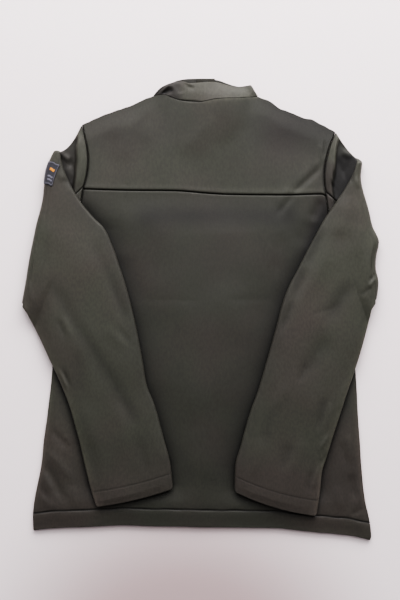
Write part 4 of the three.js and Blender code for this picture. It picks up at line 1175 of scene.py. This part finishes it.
def stitch_row(name, path):
    """Capsules along a path, each turned to the way, the side and the up of its place."""
    bead, quads = capsule(STITCH_LENGTH, THREAD / 2)
    at, way = resample(path, STITCH_PITCH)
    up = np.array([0, 0, 1.0]) - way * way[:, 2:3]
    up = up / np.linalg.norm(up, axis=1, keepdims=True)
    axes = np.stack([way, np.cross(up, way), up], axis=1)
    points = (at[:, None] + np.einsum("pk,nkj->npj", bead, axes)).reshape(-1, 3)
    faces = (quads[None] + (np.arange(len(at)) * len(bead))[:, None, None]).reshape(-1, 4)
    print(f"{name}: {len(at)} stitches")
    return make_mesh(name, points, facing_out(points, faces))


print("a stitch is", STITCH_LENGTH, "mm long, and there is one every", STITCH_PITCH, "mm")

# %% [markdown]
# The hem's row follows the hem line on the back. A cuff's row is found on the sleeve's own skin:
# in each column, the place that lies the cuff's depth from its end.

# %% Rows on the hem and cuffs
hem_x = np.linspace(HEM[0][0] + 4, HEM[-1][0] - 5, 400)
hem_y = hem_of(hem_x) + HEM_DEPTH
hem_path = np.stack([hem_x, hem_y, back_face(hem_x, hem_y)[0] + HEM_LIFT], axis=1)
stitch_row("hem_stitches", hem_path)


def cuff_path(sleeve, side, lift):
    """The stitched line on one face of a cuff: in each column, the point CUFF_DEPTH from the
    end, found between the two grid steps round it."""
    t = np.linspace(0.02, 0.98, 120)[:, None]
    s = np.linspace(sleeve["cuff"] - 1.2, sleeve["cuff"], 60)[None, :]
    skin, _, _ = tube_skin(sleeve, 0 * t + side, t, s, 0)
    step = np.linalg.norm(np.diff(skin, axis=1), axis=2)
    run = np.concatenate([0 * t, np.cumsum(step, axis=1)], axis=1)
    to_cuff = run[:, -1:] - run
    k = np.argmax(to_cuff < CUFF_DEPTH, axis=1)
    rows = np.arange(len(t))
    share = (to_cuff[rows, k - 1] - CUFF_DEPTH) / (to_cuff[rows, k - 1] - to_cuff[rows, k])
    path = mix(skin[rows, k - 1], skin[rows, k], share[:, None])
    return path + np.array([0, 0, lift])


for side_name, sleeve in (("left", left_sleeve), ("right", right_sleeve)):
    stitch_row(f"cuff_stitches_{side_name}", cuff_path(sleeve, 1, CUFF_LIFT))

# %% [markdown]
# ## The woven patch
# A small patch is sewn on the left sleeve, just over the fold, so that half of it turns round
# the edge. It is made from the sleeve's own points moved out. Its design is a plain one: a
# paler rim, two light stripes and an amber bar across it, raised a little as satin stitch is.

# %% The patch
PATCH_THICK = 0.9
PATCH_T = (0.065, 0.215)  # where it lies across the sleeve
PATCH_S = (1.62, 2.8)  # and along it
PATCH_SHEAR = 0.07  # the sleeve's steps slant along the fold, and this sets the patch upright

STRIPES, STRIPE_SPAN = ((0.6, 0.66), (0.75, 0.81)), (0.22, 0.78)  # shares down and across it
AMBER_BAR, AMBER_SPAN = (0.27, 0.37), (0.26, 0.74)
BAND_SOFT = 0.012
RIM_RAISED, SATIN_RAISED = 0.35, 0.22  # how far its edge and its satin stitch stand up


def band(value, start, end):
    """1 between start and end, with soft sides."""
    return ease(start - BAND_SOFT, start, value) * ease(end + BAND_SOFT, end, value)


def patch_design(p, q):
    """Distance from the patch's edge, and where its rim, its two stripes and its bar are, at
    shares p down the patch and q across it."""
    from_edge = np.minimum(np.minimum(p, 1 - p) * 1.2, np.minimum(q, 1 - q))
    inside = ease(0.13, 0.15, from_edge)
    stripes = sum(band(p, *stripe) for stripe in STRIPES) * band(q, *STRIPE_SPAN) * inside
    amber = band(p, *AMBER_BAR) * band(q, *AMBER_SPAN) * inside
    return from_edge, ease(0.1, 0.07, from_edge), stripes, amber


def patch_wall():
    """The patch: the sleeve's own points moved out along its skin by the patch's height."""
    p = np.linspace(0, 1, 61)[:, None]
    q = np.linspace(0, 1, 91)[None, :]
    s = mix(*PATCH_S, q) + 0 * p
    t = mix(*PATCH_T, p) - PATCH_SHEAR * np.maximum(s - 2, 0)
    side = np.ones_like(t)
    skin, _, _ = tube_skin(left_sleeve, side, t, s, 0)
    deeper, _, _ = tube_skin(left_sleeve, side, t, s, WALL)
    out = (skin - deeper) / np.linalg.norm(skin - deeper, axis=2, keepdims=True)
    from_edge, border, stripes, amber = patch_design(p, q)
    rise = RIM_RAISED * border + SATIN_RAISED * (stripes + amber)
    high = SEAM + PATCH_THICK + rise - 0.25 * ease(0.02, 0, from_edge)
    outer = skin + out * high[:, :, None]
    inner = skin + out * SEAM
    piece = cloth_wall("sleeve_patch_weave", outer, inner, 0.5 * border)
    for name, ink in (("light", np.maximum(0.35 * border, stripes)), ("amber", amber)):
        attribute = piece.data.attributes.new(name, "FLOAT", "POINT")
        attribute.data.foreach_set("value", np.concatenate([ink.ravel(), 0 * ink.ravel()]))
    return piece


patch_wall()

# %% [markdown]
# ## The front zip
# The zip is closed and lies hidden between the fronts, seen only from below: a coil chain on
# two woven tapes. The chain is one small tooth copied along both sides with numpy.

# %% The zip
TAPE_HALF, TAPE_LOW, TAPE_THICK = 15.0, 2.45, 0.6  # half width, height of its underside
RIB, RIB_PITCH = 0.06, 2.5  # the ribs along the tape
CHAIN_LOW, CHAIN_THICK, TOOTH_PITCH = 2.3, 1.8, 2.6
TOOTH_LENGTH, TOOTH_RADIUS = 3.9, 0.8
TOOTH_PAST = 1.0  # how far a tooth's middle lies from the middle of the chain
ZIP_TOP = 377.0  # y of the slider's top
SLIDER_LENGTH = 11.0
RIM_MIDDLE = FRONT_RIM[4][1]  # y of the collar's rim at the zip
zip_foot = float(hem_of(ZIP_X)) + 1
zip_head = ZIP_TOP - SLIDER_LENGTH - SEAM


def tape_wall():
    """Both tapes as one strip that reaches up to the collar's rim, ribbed along its length."""
    x = ZIP_X + np.linspace(-TAPE_HALF, TAPE_HALF, 25)[:, None]
    y = np.linspace(zip_foot, RIM_MIDDLE - 0.4, 240)[None, :]
    ribs = RIB * np.cos(2 * np.pi * (x - ZIP_X) / RIB_PITCH) + 0 * y
    top = np.stack([x + 0 * y, y + 0 * x, TAPE_LOW + TAPE_THICK - RIB + ribs], axis=-1)
    low = np.stack([x + 0 * y, y + 0 * x, TAPE_LOW + RIB - ribs], axis=-1)
    return cloth_wall("zip_tape_weave", top, low, 0 * x + 0 * y)


def zip_teeth():
    """Rounded teeth, in turn from the left and right tape, each reaching past the middle."""
    bead, quads = capsule(TOOTH_LENGTH, TOOTH_RADIUS)
    at = np.arange(zip_foot + 1.5, zip_head - 1, TOOTH_PITCH / 2)
    turn = np.where(np.arange(len(at)) % 2 == 0, 1.0, -1.0)
    middle = CHAIN_LOW + CHAIN_THICK / 2
    points = np.stack([
        ZIP_X + turn[:, None] * (bead[None, :, 0] - TOOTH_PAST),
        at[:, None] + bead[None, :, 1],
        middle + bead[None, :, 2] + 0 * at[:, None]], axis=-1)
    mirrored = np.where(turn[:, None, None] < 0, quads[None, :, ::-1], quads[None])
    faces = mirrored + (np.arange(len(at)) * len(bead))[:, None, None]
    points, faces = points.reshape(-1, 3), faces.reshape(-1, 4)
    print("zip teeth:", len(at))
    return make_mesh("zip_teeth", points, facing_out(points, faces))


tape_wall()
zip_teeth()

# %% [markdown]
# ## Materials
# Every colour is an sRGB hex value turned to linear by one function, and one function adds a
# node with its settings and links. From here on lengths are in metres, as the meshes are.

# %% Material helpers
def linear(code):
    """sRGB hex to linear RGBA."""
    value = np.array([int(code[k:k + 2], 16) for k in (1, 3, 5)]) / 255
    low = value / 12.92
    high = ((value + 0.055) / 1.055) ** 2.4
    return (*np.where(value <= 0.04045, low, high), 1.0)


def add_node(tree, kind, inputs=None, **settings):
    """A new node with its settings, and each input set to a value or linked to a socket."""
    node = tree.nodes.new(kind)
    for key, value in settings.items():
        setattr(node, key, value)
    for key, value in (inputs or {}).items():
        if isinstance(value, bpy.types.NodeSocket):
            tree.links.new(value, node.inputs[key])
        else:
            node.inputs[key].default_value = value
    return node


def new_material(name):
    """An empty material, its node tree and its shader."""
    material = bpy.data.materials.new(name)
    material.use_nodes = True
    tree = material.node_tree
    return material, tree, tree.nodes["Principled BSDF"]


COLOUR_A, COLOUR_B, COLOUR_OUT = 6, 7, 2  # colour sockets of a Mix node, whose names repeat


def wave_scale(period):
    """Scale of a Wave texture whose bands repeat every period metres: it turns 20 radians a
    unit of scale and metre."""
    return 2 * np.pi / (20 * period)


print("bands 1 mm apart need a scale of", round(wave_scale(MM), 1))

# %% [markdown]
# Softshell has a plain woven polyester face, dyed dark olive. It scatters light widely and has
# a faint bloom at low angles, from the fibre ends, so it is rough with a little sheen. Its
# colour wanders slowly between a greener and a browner olive, and it has a fine even grain.

# %% Softshell
# deep holds painted shade beside the sleeves, in valleys and troughs, and, below 0, painted
# highlights and light on edges, ridges and round the cuffs, besides darker and paler spots.
DEEP_TONE = 0.64  # share of the colour that full deep leaves; the yoke and sleeves are paler than the back
SHADE_REACH = 0.045  # reach of the ambient occlusion that darkens the colour: painted shade in folds
SHADE_POWER = 1.5
THREAD_SPACING = 0.0009  # drawn coarse: the real threads, 0.3 mm apart, are too fine to show
THREAD_HEIGHT = 0.00025  # of the bump that stands for them
WARM_SHARE = 0.7  # how far the browner places go to brown
SPECKLE = 0.14  # how much lighter and darker single fibres are
SHEEN = 0.15  # the bloom of the fibre ends


def cloth_colour(tree, place, grain, green, brown, seam_colour):
    """The colour: green mixed with brown by a slow noise and the piece's warm, times a fine speckle
    and the tone of its deep, with its painted shade and light, and the seam colour where its seam
    says so, all darker in folds by ambient occlusion, which is painted shade."""
    drift = add_node(tree, "ShaderNodeTexNoise", {
        "Vector": place, "Scale": 9.0, "Detail": 2.0, "Roughness": 0.5})
    drifted = add_node(tree, "ShaderNodeMapRange", {
        "Value": drift.outputs["Fac"], "From Min": 0.42, "From Max": 0.8})
    warm = add_node(tree, "ShaderNodeAttribute", attribute_name="warm")
    warmer = add_node(tree, "ShaderNodeMath", {0: warm.outputs["Fac"], 1: WARM_SHARE},
                      operation="MULTIPLY")
    share = add_node(tree, "ShaderNodeMath", {
        0: drifted.outputs["Result"], 1: warmer.outputs["Value"]}, operation="ADD", use_clamp=True)
    tint = add_node(tree, "ShaderNodeMix", {
        "Factor": share.outputs["Value"], COLOUR_A: linear(green), COLOUR_B: linear(brown)},
        data_type="RGBA")
    stretched = add_node(tree, "ShaderNodeMapping", {"Vector": place, "Scale": (1.0, 0.5, 0.5)})
    slub = add_node(tree, "ShaderNodeTexNoise", {
        "Vector": stretched.outputs["Vector"], "Scale": 330.0, "Detail": 1.0, "Roughness": 0.5})
    speckled = add_node(tree, "ShaderNodeMath", {
        0: grain.outputs["Fac"], 1: slub.outputs["Fac"]}, operation="ADD")
    speck = add_node(tree, "ShaderNodeMapRange", {
        "Value": speckled.outputs["Value"], "From Min": 0.8, "From Max": 1.2,
        "To Min": 1 - SPECKLE, "To Max": 1 + SPECKLE})
    deep = add_node(tree, "ShaderNodeAttribute", attribute_name="deep")
    tone = add_node(tree, "ShaderNodeMapRange", {
        "Value": deep.outputs["Fac"], "To Min": 1.0, "To Max": DEEP_TONE}, clamp=False)
    level = add_node(tree, "ShaderNodeMath", {
        0: speck.outputs["Result"], 1: tone.outputs["Result"]}, operation="MULTIPLY")
    grained = add_node(tree, "ShaderNodeVectorMath", {
        0: tint.outputs[COLOUR_OUT], "Scale": level.outputs["Value"]}, operation="SCALE")
    seam = add_node(tree, "ShaderNodeAttribute", attribute_name="seam")
    faced = add_node(tree, "ShaderNodeMix", {
        "Factor": seam.outputs["Fac"], COLOUR_A: grained.outputs["Vector"],
        COLOUR_B: linear(seam_colour)}, data_type="RGBA")
    # ambient occlusion darkens the colour: painted shade in folds and crevices
    shade = add_node(tree, "ShaderNodeAmbientOcclusion", {"Distance": SHADE_REACH}, samples=8)
    depth = add_node(tree, "ShaderNodeMath", {0: shade.outputs["AO"], 1: SHADE_POWER},
                     operation="POWER")
    shaded = add_node(tree, "ShaderNodeVectorMath", {
        0: faced.outputs[COLOUR_OUT], "Scale": depth.outputs["Value"]}, operation="SCALE")
    return shaded.outputs["Vector"]


print("full depth of dye leaves", DEEP_TONE, "of the colour's light")

# %% [markdown]
# The weave is a bump, as shaped threads would take millions of faces. It follows the cloth's
# own map, so the threads turn with a sleeve that is folded over.

# %% Weave and finish
def weave_normal(tree, grain):
    """The normal bumped by the weave: warp bands times weft bands along the cloth's own map, plus
    the grain."""
    cloth = add_node(tree, "ShaderNodeUVMap", uv_map="cloth").outputs["UV"]
    warp, weft = (add_node(tree, "ShaderNodeTexWave", {
        "Vector": cloth, "Scale": wave_scale(THREAD_SPACING), "Distortion": 0.4},
        bands_direction=way) for way in ("X", "Y"))
    weave = add_node(tree, "ShaderNodeMath", {
        0: warp.outputs["Fac"], 1: weft.outputs["Fac"]}, operation="MULTIPLY")
    raised = add_node(tree, "ShaderNodeMath", {
        0: weave.outputs["Value"], 1: grain.outputs["Fac"]}, operation="ADD")
    bump = add_node(tree, "ShaderNodeBump", {
        "Height": raised.outputs["Value"], "Strength": 0.35, "Distance": THREAD_HEIGHT})
    return bump.outputs["Normal"]


def softshell(name, green, brown, seam_colour):
    """The cloth: its dye, its weave, and a roughness that varies with the grain."""
    material, tree, shader = new_material(name)
    place = add_node(tree, "ShaderNodeTexCoord").outputs["Object"]
    grain = add_node(tree, "ShaderNodeTexNoise", {
        "Vector": place, "Scale": 420.0, "Detail": 2.0, "Roughness": 0.6})
    colour = cloth_colour(tree, place, grain, green, brown, seam_colour)
    tree.links.new(colour, shader.inputs["Base Color"])
    tree.links.new(weave_normal(tree, grain), shader.inputs["Normal"])
    rough = add_node(tree, "ShaderNodeMapRange", {
        "Value": grain.outputs["Fac"], "From Min": 0.3, "From Max": 0.7,
        "To Min": 0.54, "To Max": 0.68})
    tree.links.new(rough.outputs["Result"], shader.inputs["Roughness"])
    shader.inputs["Specular IOR Level"].default_value = 0.5
    shader.inputs["Sheen Weight"].default_value = SHEEN
    shader.inputs["Sheen Roughness"].default_value = 0.5
    shader.inputs["Sheen Tint"].default_value = linear("#c9c8b8")
    return material


jacket_cloth = softshell("softshell_olive", "#32342b", "#36312c", "#060605")
# The collar's copy of the cloth is a little lighter green, painting the light on its tilted face,
# and a darker brown, painting the shade at its left end.
collar_cloth = softshell("softshell_collar_lit_and_shaded", "#35362e", "#2f2824", "#050404")
print("made", jacket_cloth.name, "and", collar_cloth.name)

# %% [markdown]
# The thread is dyed to match and a little darker, a twisted polyester with a faint gloss. The
# patch is woven on slate twill with light stripes and an amber bar. The zip tape is a dense dark
# polyester weave, its teeth are moulded acetal, and slider and tab are enamelled die-cast metal.

# %% Small materials
TWILL_SPACING, TWILL_HEIGHT = 0.0007, 0.0002  # one rib of the patch's twill, and its relief


def plain(name, colour, roughness, metallic=0.0, grain_size=0.0012, spread=0.15):
    """A material of one colour that varies with a fine grain, in colour and in roughness."""
    material, tree, shader = new_material(name)
    place = add_node(tree, "ShaderNodeTexCoord").outputs["Object"]
    grain = add_node(tree, "ShaderNodeTexNoise", {
        "Vector": place, "Scale": 1 / grain_size, "Detail": 3.0})
    base = np.array(linear(colour)[:3])
    tint = add_node(tree, "ShaderNodeMix", {
        "Factor": grain.outputs["Fac"], COLOUR_A: (*(base * (1 - spread)), 1),
        COLOUR_B: (*np.clip(base * (1 + spread), 0, 1), 1)}, data_type="RGBA")
    tree.links.new(tint.outputs[COLOUR_OUT], shader.inputs["Base Color"])
    rough = add_node(tree, "ShaderNodeMapRange", {
        "Value": grain.outputs["Fac"], "To Min": roughness - 0.08, "To Max": roughness + 0.08})
    tree.links.new(rough.outputs["Result"], shader.inputs["Roughness"])
    shader.inputs["Metallic"].default_value = metallic
    return material


def patch_weave(name):
    """Slate twill with light and amber satin stitch where the patch's attributes say so."""
    material, tree, shader = new_material(name)
    cloth = add_node(tree, "ShaderNodeUVMap", uv_map="cloth").outputs["UV"]
    twill = add_node(tree, "ShaderNodeTexWave", {
        "Vector": cloth, "Scale": wave_scale(TWILL_SPACING), "Distortion": 0.3},
        bands_direction="DIAGONAL")
    colour = linear("#25252d")
    for attribute_name, code in (("light", "#5f5e6a"), ("amber", "#b87a17")):
        ink = add_node(tree, "ShaderNodeAttribute", attribute_name=attribute_name)
        layer = add_node(tree, "ShaderNodeMix", {
            "Factor": ink.outputs["Fac"], COLOUR_A: colour, COLOUR_B: linear(code)},
            data_type="RGBA")
        colour = layer.outputs[COLOUR_OUT]
    tree.links.new(colour, shader.inputs["Base Color"])
    bump = add_node(tree, "ShaderNodeBump", {
        "Height": twill.outputs["Fac"], "Strength": 0.4, "Distance": TWILL_HEIGHT})
    tree.links.new(bump.outputs["Normal"], shader.inputs["Normal"])
    shader.inputs["Roughness"].default_value = 0.6
    shader.inputs["Sheen Weight"].default_value = SHEEN
    return material


thread = plain("thread_polyester", "#16160f", 0.6)
patch_cloth = patch_weave("patch_twill")
tape_cloth = plain("zip_tape_polyester", "#23221c", 0.8, grain_size=0.0008)
tooth_acetal = plain("zip_tooth_acetal", "#1d1c18", 0.4, grain_size=0.004, spread=0.08)
slider_enamel = plain("slider_enamel", "#3a3a38", 0.42, metallic=0.8, grain_size=0.003, spread=0.1)
print("materials:", [material.name for material in bpy.data.materials if material.use_nodes])

# %% [markdown]
# ## Each piece on its body
# Every piece rides on a body of the frame and stands for the solid that it dresses.

# %% Dress the frame
def dress(piece_name, material, nodes=(), body="jacket"):
    """Gives a piece its material and its body, and hides the solids that it stands for."""
    piece = PIECES[piece_name]
    piece.data.materials.append(material)
    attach(piece, body)
    if nodes:
        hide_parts(*nodes)
    return piece


CUTS = [  # piece, node, flat width, flat length, area in m2, what it lies on
    ("front_left_cloth", "front_left", 0.285, 0.720, 0.163, []),
    ("front_right_cloth", "front_right", 0.272, 0.735, 0.160, []),
    ("back_body_cloth", "back_body", 0.562, 0.582, 0.275, ["front_left", "front_right"]),
    ("back_yoke_cloth", "back_yoke", 0.422, 0.168, 0.057, ["front_left", "front_right"]),
    ("sleeve_left_upper_cloth", "sleeve_left_upper", 0.372, 0.690, 0.140, ["back_body"]),
    ("sleeve_left_lower_cloth", "sleeve_left_lower", 0.112, 0.640, 0.035, ["back_body"]),
    ("sleeve_right_upper_cloth", "sleeve_right_upper", 0.372, 0.650, 0.131, ["back_body"]),
    ("sleeve_right_lower_cloth", "sleeve_right_lower", 0.112, 0.600, 0.034, ["back_body"])]
for piece_name, node, width, length, area, under in CUTS:
    piece = dress(piece_name, jacket_cloth, [node])

collar = dress("collar_cloth_band", collar_cloth, ["collar"])
patch = dress("sleeve_patch_weave", patch_cloth, ["sleeve_patch"])
for row in ("hem_stitches", "cuff_stitches_left", "cuff_stitches_right"):
    dress(row, thread)
dress("zip_tape_weave", tape_cloth, ["front_zip"])
dress("zip_teeth", tooth_acetal)
for node in ("zip_slider", "zip_pull_tab"):
    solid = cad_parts[node]
    solid.data.materials.clear()
    solid.data.materials.append(slider_enamel)
print(len(PIECES), "pieces dressed")

# %% [markdown]
# ## The floor
# The jacket lies on a pale, slightly pinkish floor, matt like paper. It is one square that runs
# far past the picture, a hair under the cloth, so that the two never share a plane.

# %% Floor
FLOOR_REACH = 4.0
FLOOR_DROP = 0.0006
FOOT_PLACE = (-0.03, -0.62, 0.0)  # middle of the painted shadow at the foot of the picture
FOOT_NEAR, FOOT_FAR = 0.14, 0.41  # where that shade starts to fade, and where it ends


def floor_paper():
    """Matt pinkish paper with a faint mottle, and a painted shadow toward the foot of the picture,
    where the viewer stands in the light."""
    material, tree, shader = new_material("floor_paper")
    place = add_node(tree, "ShaderNodeTexCoord").outputs["Object"]
    grain = add_node(tree, "ShaderNodeTexNoise", {"Vector": place, "Scale": 20.0, "Detail": 3.0})
    mottle = add_node(tree, "ShaderNodeMapRange", {
        "Value": grain.outputs["Fac"], "To Min": 0.99, "To Max": 1.01})
    away = add_node(tree, "ShaderNodeVectorMath", {0: place, 1: FOOT_PLACE},
                    operation="DISTANCE")
    shade = add_node(tree, "ShaderNodeMapRange", {
        "Value": away.outputs["Value"], "From Min": FOOT_NEAR, "From Max": FOOT_FAR},
        interpolation_type="SMOOTHSTEP")
    tint = add_node(tree, "ShaderNodeMix", {
        "Factor": shade.outputs["Result"], COLOUR_A: linear("#ac9a9b"),
        COLOUR_B: linear("#e8dfe1")}, data_type="RGBA")
    colour = add_node(tree, "ShaderNodeVectorMath", {
        0: tint.outputs[COLOUR_OUT], "Scale": mottle.outputs["Result"]}, operation="SCALE")
    tree.links.new(colour.outputs["Vector"], shader.inputs["Base Color"])
    shader.inputs["Roughness"].default_value = 0.85
    return material


def floor():
    """A square of one face, anticlockwise from above so that it looks up."""
    corners = FLOOR_REACH * np.array([(-1, -1, 0), (1, -1, 0), (1, 1, 0), (-1, 1, 0)])
    mesh = bpy.data.meshes.new("floor")
    mesh.from_pydata(corners.tolist(), [], [(0, 1, 2, 3)])
    piece = bpy.data.objects.new("floor", mesh)
    bpy.context.scene.collection.objects.link(piece)
    piece.location.z = -FLOOR_DROP
    mesh.materials.append(floor_paper())
    return piece


floor()
print("floor", 2 * FLOOR_REACH, "m wide")

# %% [markdown]
# ## The light
# Two large soft lights stand past the collar, a window low and a skylight high, so the folds
# are lit from the top of the picture and shade toward its foot. The world fills the shadows:
# a plain room, brighter at its walls, so the cloth keeps some shape where no lamp reaches.

# %% Light
def area_light(name, place, target, size, power, colour):
    """A rectangle of light at place, turned so that its -Z axis points at target."""
    data = bpy.data.lights.new(name, "AREA")
    data.shape = "RECTANGLE"
    data.size, data.size_y = size
    data.energy = power
    data.color = linear(colour)[:3]
    light = bpy.data.objects.new(name, data)
    light.location = place
    way = np.array(target) - np.array(place)
    flat = np.hypot(way[0], way[1])
    light.rotation_euler = (np.arctan2(flat, -way[2]), 0, np.arctan2(way[1], way[0]) - np.pi / 2)
    bpy.context.scene.collection.objects.link(light)
    return light


area_light("window", (0.25, 1.7, 1.0), (0, 0, 0), (2.4, 1.1), 68.0, "#fffcfb")
area_light("skylight", (0.05, 1.35, 2.0), (0, 0.1, 0), (3.0, 2.0), 42.0, "#fdfafc")


def studio_world():
    """A room that is brighter at the walls than overhead and darkest on the viewer's side: its
    strength is a constant plus the dot product of the direction with a tilt."""
    world = bpy.data.worlds.new("studio")
    world.use_nodes = True
    tree = world.node_tree
    way = add_node(tree, "ShaderNodeTexCoord").outputs["Generated"]
    tilt = add_node(tree, "ShaderNodeVectorMath", {0: way, 1: (0.0, 0.4, -0.85)},
                    operation="DOT_PRODUCT")
    level = add_node(tree, "ShaderNodeMath", {0: tilt.outputs["Value"], 1: 1.08},
                     operation="ADD")
    ground = tree.nodes["Background"]
    ground.inputs["Color"].default_value = linear("#f7f2f4")
    tree.links.new(level.outputs["Value"], ground.inputs["Strength"])
    return world


bpy.context.scene.world = studio_world()
bpy.context.scene.view_settings.view_transform = "AgX"
bpy.context.scene.view_settings.look = "AgX - High Contrast"
print("lights:", [light.name for light in bpy.data.lights])

# %% [markdown]
# ## The camera
# The camera hangs 2.2 m over the floor and looks straight down, as in a photograph of a thing
# laid out. Its focal length follows from the height and from what the picture has to span.

# %% Camera
CAMERA_HEIGHT = 2.2
FRAME_LONG = 0.990  # what the long side of the picture spans at the jacket
SENSOR = 36.0  # mm, the same long side on the sensor
JACKET_LEVEL = 0.008  # height at which that span is measured
camera_data = bpy.data.cameras.new("camera")
camera_data.sensor_width = SENSOR
camera_data.lens = SENSOR * (CAMERA_HEIGHT - JACKET_LEVEL) / FRAME_LONG
camera = bpy.data.objects.new("camera", camera_data)
camera.location = (-0.0008, 0.0156, CAMERA_HEIGHT)
bpy.context.scene.collection.objects.link(camera)
bpy.context.scene.camera = camera
print("focal length", round(camera_data.lens, 1), "mm")
